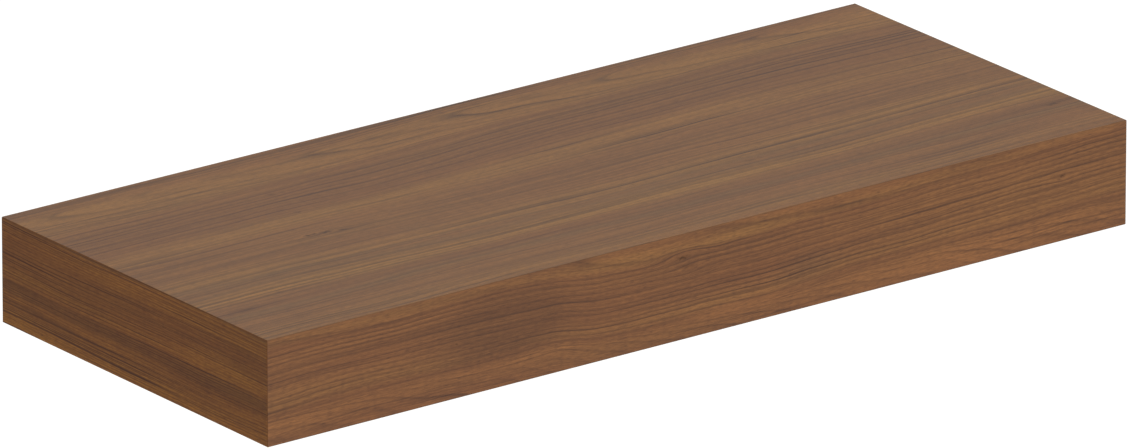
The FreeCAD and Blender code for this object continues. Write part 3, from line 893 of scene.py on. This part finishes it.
@dataclass(frozen=True)
class RawFibreboard(Finish):
    """Medium density fibreboard, sawn and left bare: short fibres of brown and straw pressed into
    a matt, slightly fuzzy face.

    Attributes:
        fibre: a tuft of fibres, across.
        speck: from one speck of bark to the next.
        speck_levels: the noise at which a speck starts, and is whole.
        fuzz: how high the saw leaves the fibres.
    """

    fibre: float = 0.9 * MM
    speck: float = 2.2 * MM
    speck_levels: tuple[float, float] = (0.68, 0.74)
    fuzz: float = 0.08 * MM

    def paint(self, tree: Tree) -> Feeds:
        """Adds the fibres, specks of bark, and the saw's fuzz.

        Args:
            tree: the material's node tree.

        Returns:
            What the Principled shader's inputs get.
        """
        point = add(tree, "TexCoord", output="Object")
        fibre = add(tree, "TexNoise", {"Vector": point, "Scale": 1 / self.fibre, "Detail": 3.0})
        browns = ((0.3, linear("#94744F")), (0.5, linear("#AD8C62")), (0.72, linear("#C4A67C")))
        colour = add(tree, "ValToRGB", {"Fac": fibre}, stops=browns)
        speck = add(tree, "TexNoise", {"Vector": point, "Scale": 1 / self.speck, "Detail": 1.0})
        start, whole = self.speck_levels
        bark = add(tree, "MapRange", {"Value": speck, "From Min": start, "From Max": whole})
        dark = (*linear("#6E5236"), 1.0)
        bump = {"Height": fibre, "Distance": self.fuzz, "Strength": 0.5}
        return {
            "Base Color": add(tree, "Mix", {0: bark, 6: colour, 7: dark}, 2, data_type="RGBA"),
            "Normal": add(tree, "Bump", bump),
            "Roughness": 0.9,
            "Specular IOR Level": 0.2,
        }


@dataclass(frozen=True)
class PlanedPoplar(Finish):
    """Tulip poplar, planed and bare: cream sapwood that turns olive and brown in the heart, with
    faint straight grain and a silky, matt face.

    Attributes:
        along: the grain's direction.
        across: the direction across it.
        seed: tells one stick from another.
        heart: how the wood turns from sapwood to heartwood.
        rings: the growth rings.
        fibres: the fibres.
        nap: how high the plane leaves the fibres, in metres.
    """

    along: Triple
    across: Triple
    seed: float = 0.0
    heart: Streaks = Streaks(length=400, width=26, detail=2)
    rings: Streaks = Streaks(length=260, width=5, detail=2, weight=0.4, seed=1)
    fibres: Streaks = Streaks(length=20, width=0.6, detail=2, weight=0.3, seed=2)
    nap: float = 0.05 * MM

    def paint(self, tree: Tree) -> Feeds:
        """Adds the sapwood and heartwood, growth rings, and fine fibres.

        Args:
            tree: the material's node tree.

        Returns:
            What the Principled shader's inputs get.
        """
        third = Vector(self.along).cross(Vector(self.across))
        places = distances(tree, (self.along, self.across, third))
        stick = add(tree, "CombineXYZ", dict(zip("XYZ", places)))
        broad = self.heart.level(tree, stick, self.seed)
        ring = self.rings.level(tree, stick, self.seed)
        fibre = self.fibres.level(tree, stick, self.seed)
        ringed = {0: ring, 1: self.rings.weight, 2: broad}
        level = add(tree, "Math", ringed, operation="MULTIPLY_ADD")
        heart_to_sap = (
            (0.3, linear("#A89B70")),
            (0.42, linear("#BFAE86")),
            (0.55, linear("#D3C19C")),
            (0.75, linear("#E0CFAC")),
        )
        share = add(tree, "Math", {0: level, 1: 0.5}, operation="ADD")
        colour = add(tree, "ValToRGB", {"Fac": share}, stops=heart_to_sap)
        shaded = {0: fibre, 1: self.fibres.weight, 2: 1.0}
        light = add(tree, "Math", shaded, operation="MULTIPLY_ADD")
        bump = {"Height": fibre, "Distance": self.nap, "Strength": 0.4}
        return {
            "Base Color": add(tree, "VectorMath", {0: colour, "Scale": light}, operation="SCALE"),
            "Normal": add(tree, "Bump", bump),
            "Roughness": 0.7,
            "Specular IOR Level": 0.3,
        }


@dataclass(frozen=True)
class PowderCoat(Finish):
    """Polyester powder coat in jet black with a fine texture, baked on steel: an even, dry sheen
    broken by grit.

    Attributes:
        grain: a grain of the texture.
        wave: from one to the next of the slow waves that the powder flows into.
        wave_height: how high they are, beside the grains.
        relief: how high the grains stand.
    """

    grain: float = 0.4 * MM
    wave: float = 3.0 * MM
    wave_height: float = 1.5
    relief: float = 0.05 * MM

    def paint(self, tree: Tree) -> Feeds:
        """Adds the texture's grains over the waves.

        Args:
            tree: the material's node tree.

        Returns:
            What the Principled shader's inputs get.
        """
        point = add(tree, "TexCoord", output="Object")
        grain = add(tree, "TexVoronoi", {"Vector": point, "Scale": 1 / self.grain}, "Distance")
        wave = add(tree, "TexNoise", {"Vector": point, "Scale": 1 / self.wave, "Detail": 2.0})
        coat = {0: wave, 1: self.wave_height, 2: grain}
        height = add(tree, "Math", coat, operation="MULTIPLY_ADD")
        blacks = ((0.0, linear("#262728")), (0.8, linear("#17181A")))
        bump = {"Height": height, "Distance": self.relief, "Strength": 0.7}
        return {
            "Base Color": add(tree, "ValToRGB", {"Fac": grain}, stops=blacks),
            "Normal": add(tree, "Bump", bump),
            "Roughness": 0.52,
            "IOR": 1.5,
        }


@dataclass(frozen=True)
class ZincPlate(Finish):
    """Cold-drawn steel bar, zinc plated and blue passivated: a slightly blue metal whose fine
    drawing lines run along the bar. Its colour is darker than zinc's, a painted reflection of
    darker surroundings.

    Attributes:
        line: between drawing lines, some four times as coarse as a die leaves them, to show.
        run: how far a drawing line runs.
        cloud: a cloud in the passivation.
        relief: how deep the lines are.
    """

    line: float = 0.6 * MM
    run: float = 60 * MM
    cloud: float = 14 * MM
    relief: float = 0.015 * MM

    def paint(self, tree: Tree) -> Feeds:
        """Adds the passivation's faint clouds and the drawing lines.

        Args:
            tree: the material's node tree.

        Returns:
            What the Principled shader's inputs get.
        """
        point = add(tree, "TexCoord", output="Object")
        spans = (1 / self.line, 1 / self.run, 1 / self.line)
        drawn = add(tree, "VectorMath", {0: point, 1: spans}, operation="MULTIPLY")
        lines = add(tree, "TexNoise", {"Vector": drawn, "Scale": 1.0, "Detail": 2.0})
        cloud = add(tree, "TexNoise", {"Vector": point, "Scale": 1 / self.cloud, "Detail": 3.0})
        # Painted reflection: these blues are darker than zinc, standing in for the darker surroundings that the
        # bar would mirror.
        reflection_darkened_blues = ((0.3, linear("#969CA5")), (0.7, linear("#ABADAB")))
        colour = add(tree, "ValToRGB", {"Fac": cloud}, stops=reflection_darkened_blues)
        shade = add(tree, "MapRange", {"Value": lines, "To Min": 0.7, "To Max": 1.3})
        bump = {"Height": lines, "Distance": self.relief, "Strength": 0.5}
        return {
            "Base Color": add(tree, "VectorMath", {0: colour, "Scale": shade}, operation="SCALE"),
            "Roughness": add(tree, "MapRange", {"Value": lines, "To Min": 0.24, "To Max": 0.46}),
            "Normal": add(tree, "Bump", bump),
            "Metallic": 1.0,
        }


@dataclass(frozen=True)
class BlackOxide(Finish):
    """Hardened alloy steel, blackened and oiled: a charcoal metal with a soft, greasy gleam.

    Attributes:
        film: a patch of thicker oil, across.
    """

    film: float = 2 * MM

    def paint(self, tree: Tree) -> Feeds:
        """Adds the oil's uneven film over the blackened steel.

        Args:
            tree: the material's node tree.

        Returns:
            What the Principled shader's inputs get.
        """
        point = add(tree, "TexCoord", output="Object")
        film = add(tree, "TexNoise", {"Vector": point, "Scale": 1 / self.film, "Detail": 3.0})
        charcoals = ((0.3, linear("#393A3F")), (0.7, linear("#454547")))
        return {
            "Base Color": add(tree, "ValToRGB", {"Fac": film}, stops=charcoals),
            "Roughness": add(tree, "MapRange", {"Value": film, "To Min": 0.28, "To Max": 0.46}),
            "Metallic": 1.0,
        }


@dataclass(frozen=True)
class TurnedBrass(Finish):
    """Free-cutting brass, turned and left bright: a warm yellow metal with fine rings from the
    tool about each piece's own axis.

    Attributes:
        spacing: between the pieces along X, with one of them at x = 0.
        back: the pieces' axis along Y.
        ring: between the tool's rings, twice as coarse as a lathe leaves them, to show.
        tarnish: a patch of tarnish, across.
        relief: how deep the rings are.
    """

    spacing: float
    back: float
    ring: float = 0.12 * MM
    tarnish: float = 5 * MM
    relief: float = 0.01 * MM

    def paint(self, tree: Tree) -> Feeds:
        """Adds the tool's rings and the tarnish.

        Args:
            tree: the material's node tree.

        Returns:
            What the Principled shader's inputs get.
        """
        place = add(tree, "TexCoord", output="Object")
        parts = add(tree, "SeparateXYZ", {0: place}, "X").node.outputs
        half = self.spacing / 2
        across = add(tree, "Math", {0: parts["X"], 1: half, 2: -half}, operation="WRAP")
        out = add(tree, "Math", {0: parts["Y"], 1: self.back}, operation="SUBTRACT")
        flat = add(tree, "CombineXYZ", {"X": across, "Y": out})
        radius = add(tree, "VectorMath", {0: flat}, "Value", operation="LENGTH")
        ring = add(tree, "Math", {0: radius, 1: 1 / self.ring}, operation="MULTIPLY")
        tool = add(tree, "TexNoise", {"W": ring, "Scale": 1.0}, noise_dimensions="1D")
        tarnish = add(tree, "TexNoise", {"Vector": place, "Scale": 1 / self.tarnish, "Detail": 3.0})
        yellows = ((0.35, linear("#C29C53")), (0.65, linear("#DDBA72")))
        bump = {"Height": tool, "Distance": self.relief, "Strength": 0.5}
        return {
            "Base Color": add(tree, "ValToRGB", {"Fac": tarnish}, stops=yellows),
            "Roughness": add(tree, "MapRange", {"Value": tool, "To Min": 0.16, "To Max": 0.34}),
            "Normal": add(tree, "Bump", bump),
            "Metallic": 1.0,
        }


def dress(node: str, finish: bpy.types.Material) -> None:
    """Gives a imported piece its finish.

    Args:
        node: the piece's name.
        finish: the material that it gets.
    """
    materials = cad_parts[node].data.materials
    materials.clear()
    materials.append(finish)
    log.info("%s: %s", node, finish.name)


# Turned and threaded pieces

KNURL_DEPTH = 0.35 * MM
KNURL_STEPS = 3  # points from one groove of the knurling to the next
WELD = 0.0005 * MM  # points nearer than this are one
SHARP = math.radians(32)  # an edge that turns further is sharp


class Section(Enum):
    """The outline of a ring of points."""

    ROUND = "round"
    HEXAGON = "hexagon"
    KNURLED = "knurled"


@dataclass(frozen=True)
class Ring:
    """A ring of points about the turning axis.

    Attributes:
        radius: its radius, or half a hexagon's distance across flats.
        height: its place along the axis.
        section: its outline.
    """

    radius: float
    height: float
    section: Section = Section.ROUND

    def reach(self, angle: float, tooth: int) -> float:
        """Measures how far out the ring is at an angle.

        Args:
            angle: in radians.
            tooth: the point's number round the ring.

        Returns:
            The distance from the axis.
        """
        if self.section is Section.HEXAGON:
            sixth = math.pi / 3
            return self.radius / math.cos(angle % sixth - sixth / 2)
        if self.section is Section.KNURLED and tooth % KNURL_STEPS == 0:
            return self.radius - KNURL_DEPTH
        return self.radius


@dataclass(frozen=True)
class Thread:
    """A 60 degree metric thread. Its turns are counted from height 0, so that a screw and the
    thread that it runs in have theirs in step.

    Attributes:
        major: the radius at the screw's crests, or in the nut's grooves.
        minor: the radius at the screw's roots, or at the nut's crests.
        pitch: from turn to turn.
    """

    major: float
    minor: float
    pitch: float

    def profile(self) -> tuple[tuple[float, float], ...]:
        """Works out one turn, whose flats are an eighth and a quarter of the pitch.

        Returns:
            Its corners as pairs of height and radius.
        """
        crest, root = self.pitch / 16, self.pitch / 8
        middle = self.pitch / 2
        return (
            (-crest, self.major),
            (crest, self.major),
            (middle - root, self.minor),
            (middle + root, self.minor),
        )


class Turning:
    """A turned piece in the making: rings of points about the Z axis, joined into a surface."""

    def __init__(self, sides: int) -> None:
        """Starts a piece with so many points round the axis, a multiple of 6."""
        self.sides = sides
        self.mesh = bmesh.new()

    def point(self, radius: float, step: int, height: float) -> bmesh.types.BMVert:
        """Adds a point at a radius, a step round the axis and a height."""
        angle = 2 * math.pi * step / self.sides
        return self.mesh.verts.new((radius * math.cos(angle), radius * math.sin(angle), height))

    def skin(self, rings: Iterable[Ring]) -> None:
        """Joins each ring to the next.

        Args:
            rings: the rings in order. One of no radius closes the piece.
        """
        rows = [
            [
                self.point(ring.reach(2 * math.pi * step / self.sides, step), step, ring.height)
                for step in range(self.sides)
            ]
            for ring in rings
        ]
        for low, high in zip(rows, rows[1:]):
            for step in range(self.sides):
                after = (step + 1) % self.sides
                self.mesh.faces.new((low[step], low[after], high[after], high[step]))

    def thread(self, cut: Thread, ends: tuple[Ring, Ring]) -> None:
        """Cuts a thread between two rings, bevelled to meet them at 45 degrees.

        Args:
            cut: the thread.
            ends: the lower and the upper ring. Both lie inside the thread's roots, or both lie
                outside its grooves where the thread is a nut's.
        """
        low, high = ends
        inward = low.radius < cut.minor
        limit = min if inward else max
        slope = 1 if inward else -1
        profile = cut.profile()
        first = math.floor(low.height / cut.pitch - 1) * self.sides
        last = math.ceil(high.height / cut.pitch + 1) * self.sides
        rows = []
        for step in range(first, last + 1):
            lift = cut.pitch * step / self.sides
            row = []
            for rise, radius in profile:
                height = min(max(lift + rise, low.height), high.height)
                radius = limit(radius, low.radius + slope * (height - low.height))
                radius = limit(radius, high.radius + slope * (high.height - height))
                row.append(self.point(radius, step, height))
            rows.append(row)
        for step, row in enumerate(rows[:-1]):
            turn = rows[step + self.sides : step + self.sides + 2]
            here = row + [turn[0][0]] if len(turn) == 2 else row
            there = rows[step + 1] + [turn[1][0]] if len(turn) == 2 else rows[step + 1]
            for lower in range(len(here) - 1):
                corners = (here[lower], there[lower], there[lower + 1], here[lower + 1])
                self.mesh.faces.new(corners)

    def finish(self, name: str, places: Iterable[Matrix]) -> bpy.types.Object:
        """Closes the seams, copies the piece to each of its places and makes one object of them.

        Args:
            name: the object's name.
            places: where the copies go.

        Returns:
            The object, with its place in its mesh.
        """
        bmesh.ops.remove_doubles(self.mesh, verts=self.mesh.verts[:], dist=WELD)
        bmesh.ops.recalc_face_normals(self.mesh, faces=self.mesh.faces[:])
        one = bpy.data.meshes.new(name)
        self.mesh.to_mesh(one)
        self.mesh.free()
        together = bmesh.new()
        for place in places:
            copy = one.copy()
            copy.transform(place)
            together.from_mesh(copy)
            bpy.data.meshes.remove(copy)
        together.to_mesh(one)
        together.free()
        one.shade_smooth()
        one.set_sharp_from_angle(angle=SHARP)
        piece = bpy.data.objects.new(name, one)
        bpy.context.scene.collection.objects.link(piece)
        return piece


def measure_row(node: str, axis: str) -> tuple[float, float, float]:
    """Measures a packed row of three round pieces along the wall.

    Args:
        node: the row's name.
        axis: "y" or "z", whichever runs across the pieces.

    Returns:
        A piece's radius, the spacing between the pieces, and their middle on that axis.
    """
    low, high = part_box(node)
    start, end = getattr(low, axis), getattr(high, axis)
    radius = (end - start) / 2
    return radius, (high.x - low.x) / 2 - radius, (start + end) / 2


def stand_for(
    piece: bpy.types.Object, node: str, body: str, finish: bpy.types.Material
) -> None:
    """Puts a detailed piece in a packed one's place.

    Args:
        piece: the detailed piece.
        node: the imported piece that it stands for.
        body: the body that it moves with.
        finish: its material.
    """
    piece.data.materials.append(finish)
    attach(piece, body)
    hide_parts(node)
    log.info("%s stands for %s: %s, %d faces", piece.name, node, finish.name, len(piece.data.polygons))


# Sub-assemblies


@dataclass
class ShelfBox:
    """The hollow box: five veneered boards with mitred edges, and the rails and rod blocks inside.

    Attributes:
        leaves: each face of the box with its leaf of veneer.
    """

    leaves: tuple[tuple[str, WalnutVeneer], ...] = (
        ("top", TOP_LEAF),
        ("bottom", BOTTOM_LEAF),
        ("front", FRONT_LEAF),
        ("left_end", LEFT_END_LEAF),
        ("right_end", RIGHT_END_LEAF),
    )

    def build(self) -> None:
        """Dresses the boards, their veneers, the rails and the blocks."""
        core = RawFibreboard("fibreboard_raw").material()
        for face, leaf in self.leaves:
            dress(f"{face}_veneer", leaf.cut_for(f"{face}_veneer").material())
            dress(f"{face}_panel", core)
        for number, rail in enumerate(("back_rail", "front_rail")):
            name = f"poplar_{rail}"
            stick = PlanedPoplar(name, along=(1, 0, 0), across=(0, 0, 1), seed=20.0 + number)
            dress(rail, stick.material())
        for number, side in enumerate(SIDES):
            name = f"poplar_block_{side}"
            stick = PlanedPoplar(name, along=(0, 1, 0), across=(1, 0, 0), seed=30.0 + number)
            dress(f"rod_block_{side}", stick.material())


@dataclass
class ClampFittings:
    """The M6 set screws that clamp the box to the rods, and the brass inserts that they turn in.

    Attributes:
        pitch: the M6 thread's pitch.
        screw_root: the radius at the screw's roots.
        foot_relief: how far under the roots its lower end is turned down.
        nut_crest: the radius at the insert's crests.
        nut_groove: the radius in its grooves.
        key: the set screw's hexagon socket, across flats.
        key_depth: that socket's depth.
        key_drill: the drill's point past it.
        point: the radius of the set screw's flat point.
        body_radius: the insert under its flange.
        groove_radius: the insert between its knurled bands.
        groove: that groove's start and end, up from the flange's face.
        flange: the flange's thickness.
        bevel: the small bevels on edges.
    """

    pitch: float = 1.0 * MM
    screw_root: float = 2.39 * MM
    foot_relief: float = 0.1 * MM
    nut_crest: float = 2.5 * MM
    nut_groove: float = 3.05 * MM
    key: float = 3.0 * MM
    key_depth: float = 3.5 * MM
    key_drill: float = 0.7 * MM
    point: float = 1.75 * MM
    body_radius: float = 5.0 * MM
    groove_radius: float = 4.2 * MM
    groove: tuple[float, float] = (8.6 * MM, 10.6 * MM)
    flange: float = 1.2 * MM
    bevel: float = 0.3 * MM

    def set_screw(self, side: str, finish: bpy.types.Material) -> None:
        """Turns one set screw, its socket at the bottom.

        Args:
            side: which of the three.
            finish: its material.
        """
        node = f"set_screw_{side}"
        low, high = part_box(node)
        radius = (high.x - low.x) / 2
        floor = low.z + self.key_depth
        foot = Ring(self.screw_root - self.foot_relief, low.z)
        tip = Ring(self.point, high.z)
        turning = Turning(sides=36)
        turning.skin(
            (
                Ring(0.0, floor + self.key_drill),
                Ring(self.key / 2 - self.bevel / 2, floor),
                Ring(self.key / 2, floor, Section.HEXAGON),
                Ring(self.key / 2, low.z + self.bevel / 2, Section.HEXAGON),
                Ring(self.key / 2 + self.bevel, low.z),
                foot,
            )
        )
        turning.thread(Thread(radius, self.screw_root, self.pitch), (foot, tip))
        turning.skin((tip, Ring(0.0, high.z)))
        place = Matrix.Translation(((low.x + high.x) / 2, (low.y + high.y) / 2, 0.0))
        piece = turning.finish(f"{node}_threaded", [place])
        stand_for(piece, node, node, finish)

    def inserts(self) -> None:
        """Turns the three inserts: flange, knurled bands, and the thread inside."""
        node = "threaded_inserts"
        low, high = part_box(node)
        rim, spacing, middle = measure_row(node, "y")
        start, end = (low.z + height for height in self.groove)
        mouth = Ring(self.nut_groove + self.bevel, low.z)
        top = Ring(self.nut_groove + self.bevel, high.z)
        band, waist = self.body_radius, self.groove_radius
        knurled = Section.KNURLED
        turning = Turning(sides=72)
        turning.skin(
            (
                mouth,
                Ring(rim - self.bevel / 2, low.z),
                Ring(rim, low.z + self.bevel / 2),
                Ring(rim, low.z + self.flange),
                Ring(band - KNURL_DEPTH, low.z + self.flange),
                Ring(band, low.z + self.flange + self.bevel, knurled),
                Ring(band, start, knurled),
                Ring(waist, start),
                Ring(waist, end),
                Ring(band, end, knurled),
                Ring(band, high.z - 2 * self.bevel, knurled),
                Ring(waist, high.z),
                top,
            )
        )
        turning.thread(Thread(self.nut_groove, self.nut_crest, self.pitch), (mouth, top))
        places = [Matrix.Translation((step * spacing, middle, 0.0)) for step in STEPS]
        piece = turning.finish(f"{node}_knurled", places)
        brass = TurnedBrass("brass_turned", spacing=spacing, back=middle).material()
        stand_for(piece, node, "shelf", brass)

    def build(self) -> None:
        """Makes the inserts and the screws."""
        self.inserts()
        steel = BlackOxide("black_oxide_set_screw").material()
        for side in SIDES:
            self.set_screw(side, steel)


@dataclass
class WallBracket:
    """The steel bracket: a flat plate on the wall, three rods, and the screws that hold them.

    Attributes:
        pitch: the M8 thread's pitch.
        shank: the M8 screw's radius.
        plain: how much of the shank under the head has no thread.
        root: the radius at the thread's roots.
        runout: where the thread starts, from the head.
        runout_relief: how far under the roots the screw is turned down there.
        tip_relief: the same at its tip.
        key: its hexagon socket, across flats.
        key_depth: that socket's depth.
        key_drill: the drill's point past it.
        bevel: the small bevels on its head and socket.
    """

    pitch: float = 1.25 * MM
    shank: float = 4.0 * MM
    plain: float = 0.8 * MM
    root: float = 3.23 * MM
    runout: float = 1.6 * MM
    runout_relief: float = 0.05 * MM
    tip_relief: float = 0.4 * MM
    key: float = 5.0 * MM
    key_depth: float = 3.2 * MM
    key_drill: float = 1.0 * MM
    bevel: float = 0.15 * MM

    def rod_screws(self, finish: bpy.types.Material) -> None:
        """Turns the three countersunk screws, which point out from the wall.

        Args:
            finish: their material.
        """
        node = "rod_screws"
        low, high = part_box(node)
        head, spacing, middle = measure_row(node, "z")
        length = high.y - low.y
        neck = head - self.shank
        runout = Ring(self.root - self.runout_relief, neck + self.runout)
        tip = Ring(self.root - self.tip_relief, length)
        turning = Turning(sides=48)
        turning.skin(
            (
                Ring(0.0, self.key_depth + self.key_drill),
                Ring(self.key / 2 - self.bevel, self.key_depth),
                Ring(self.key / 2, self.key_depth, Section.HEXAGON),
                Ring(self.key / 2, 2 * self.bevel, Section.HEXAGON),
                Ring(self.key / 2 + 3 * self.bevel, 0.0),
                Ring(head - 2 * self.bevel, 0.0),
                Ring(head - self.bevel, self.bevel),
                Ring(self.shank, neck),
                Ring(self.shank, neck + self.plain),
                runout,
            )
        )
        turning.thread(Thread(self.shank, self.root, self.pitch), (runout, tip))
        turning.skin((tip, Ring(0.0, length)))
        out_from_wall = Matrix.Rotation(math.radians(90), 4, "X")
        places = [
            Matrix.Translation((step * spacing, high.y, middle)) @ out_from_wall for step in STEPS
        ]
        piece = turning.finish(f"{node}_threaded", places)
        stand_for(piece, node, "bracket", finish)

    def build(self) -> None:
        """Dresses the plate and the rods, and makes the screws."""
        dress("wall_plate", PowderCoat("powder_coat_jet_black").material())
        zinc = ZincPlate("zinc_plate_drawn_bar").material()
        for side in SIDES:
            dress(f"rod_{side}", zinc)
        self.rod_screws(BlackOxide("black_oxide_rod_screw").material())


# The studio


@dataclass
class Studio:
    """A white studio: a floor well below the shelf, a pale sky all round, a broad softbox far off,
    and a long lens from the front left and above.

    Attributes:
        floor_drop: the floor, down from the middle of the shelf.
        floor_size: the floor's side.
        floor_colour: what the floor throws back at the shelf.
        floor_glow: how much whiter than that the camera sees it.
        sky: the level of the light from all round.
        key_level: how much of full light the softbox gives a surface that faces it.
        key_spread: its width as seen from the shelf, in degrees.
        key_bearing: the direction from the shelf to it.
        azimuth, elevation: the camera's bearing, in degrees.
        distance: from the shelf's middle to the camera.
        lens: the camera's focal length in millimetres.
        aim: how far the camera is moved to its right and up, without turning.
    """

    floor_drop: float = 1.2
    floor_size: float = 80.0
    floor_colour: str = "#E1E1DF"
    floor_glow: float = 0.4
    sky: float = 0.55
    key_level: float = 0.567
    key_spread: float = 40.0
    key_bearing: Triple = (0.1, -0.74, 0.665)
    azimuth: float = -36.953
    elevation: float = 19.832
    distance: float = 11.581
    lens: float = 650.0
    aim: tuple[float, float] = (-0.00259, -0.00194)

    def seen(self, tree: Tree) -> Socket:
        """Tells what the camera sees from the light that falls on things.

        Args:
            tree: the node tree of the world or a material.

        Returns:
            1 for what it sees, straight or in metal and glass, and otherwise 0.
        """
        paths = add(tree, "LightPath", output="Is Camera Ray").node.outputs
        either = {0: paths["Is Camera Ray"], 1: paths["Is Glossy Ray"]}
        gloss = add(tree, "Math", either, operation="MAXIMUM")
        through = paths["Is Transmission Ray"]
        return add(tree, "Math", {0: gloss, 1: through}, operation="MAXIMUM")

    def build_world(self) -> None:
        """Lights everything from all round, in front of a white backdrop."""
        world = bpy.data.worlds.new("studio")
        world.use_nodes = True
        tree = world.node_tree
        level = add(tree, "MapRange", {"Value": self.seen(tree), "To Min": self.sky, "To Max": 1.0})
        feed(tree.nodes["Background"], {"Color": (1.0, 1.0, 1.0, 1.0), "Strength": level})
        bpy.context.scene.world = world

    def build_floor(self) -> None:
        """Lays a matt white floor. From below it can be seen through, so that it never hides the
        shelf's underside."""
        half = self.floor_size / 2
        corners = ((-half, -half), (half, -half), (half, half), (-half, half))
        mesh = bpy.data.meshes.new("floor")
        mesh.from_pydata([(x, y, -self.floor_drop) for x, y in corners], [], [(0, 1, 2, 3)])
        finish = bpy.data.materials.new("floor_matt_white")
        finish.use_nodes = True
        tree = finish.node_tree
        paint = tree.nodes["Principled BSDF"]
        white = (*linear(self.floor_colour), 1.0)
        feed(paint, {"Base Color": white, "Roughness": 0.9, "Specular IOR Level": 0.0})
        glow = add(tree, "MapRange", {"Value": self.seen(tree), "To Max": self.floor_glow})
        lit = add(tree, "Emission", {"Strength": glow})
        both = add(tree, "AddShader", {0: paint.outputs[0], 1: lit})
        clear = add(tree, "BsdfTransparent")
        below = add(tree, "NewGeometry", output="Backfacing")
        shown = add(tree, "MixShader", {0: below, 1: both, 2: clear})
        feed(tree.nodes["Material Output"], {"Surface": shown})
        mesh.materials.append(finish)
        floor = bpy.data.objects.new("floor", mesh)
        bpy.context.scene.collection.objects.link(floor)

    def build_lamp(self) -> None:
        """Hangs a round softbox so far off that it lights everything alike."""
        name = "key_softbox"
        lamp = bpy.data.lights.new(name, "SUN")
        lamp.energy = self.key_level * math.pi
        lamp.angle = math.radians(self.key_spread)
        hung = bpy.data.objects.new(name, lamp)
        hung.rotation_euler = Vector(self.key_bearing).to_track_quat("Z", "Y").to_euler()
        bpy.context.scene.collection.objects.link(hung)

    def build_camera(self) -> None:
        """Sets up the camera."""
        low, high = CAD_BOX
        turn, lift = math.radians(self.azimuth), math.radians(self.elevation)
        level = math.cos(lift)
        back = Vector((math.sin(turn) * level, -math.cos(turn) * level, math.sin(lift)))
        right = Vector((math.cos(turn), math.sin(turn), 0.0))
        up = back.cross(right)
        data = bpy.data.cameras.new("camera")
        data.lens = self.lens
        data.clip_end = 10 * self.distance
        camera = bpy.data.objects.new("camera", data)
        camera.rotation_euler = Matrix((right, up, back)).transposed().to_euler()
        aside, above = self.aim
        middle = (low + high) / 2
        camera.location = middle + self.distance * back + aside * right + above * up
        bpy.context.scene.collection.objects.link(camera)
        bpy.context.scene.camera = camera

    def build(self) -> None:
        """Sets the whole studio up."""
        bpy.context.scene.view_settings.view_transform = "Standard"
        self.build_world()
        self.build_floor()
        self.build_lamp()
        self.build_camera()
        log.info("studio: sky %.2f, lens %.0f mm", self.sky, self.lens)


def main() -> None:
    """Sets up the studio, then dresses the shelf, its fittings and its bracket."""
    logging.basicConfig(level=logging.INFO, format="%(name)s: %(message)s")
    for part in (Studio(), ShelfBox(), ClampFittings(), WallBracket()):
        part.build()


if __name__ == "__main__":
    main()
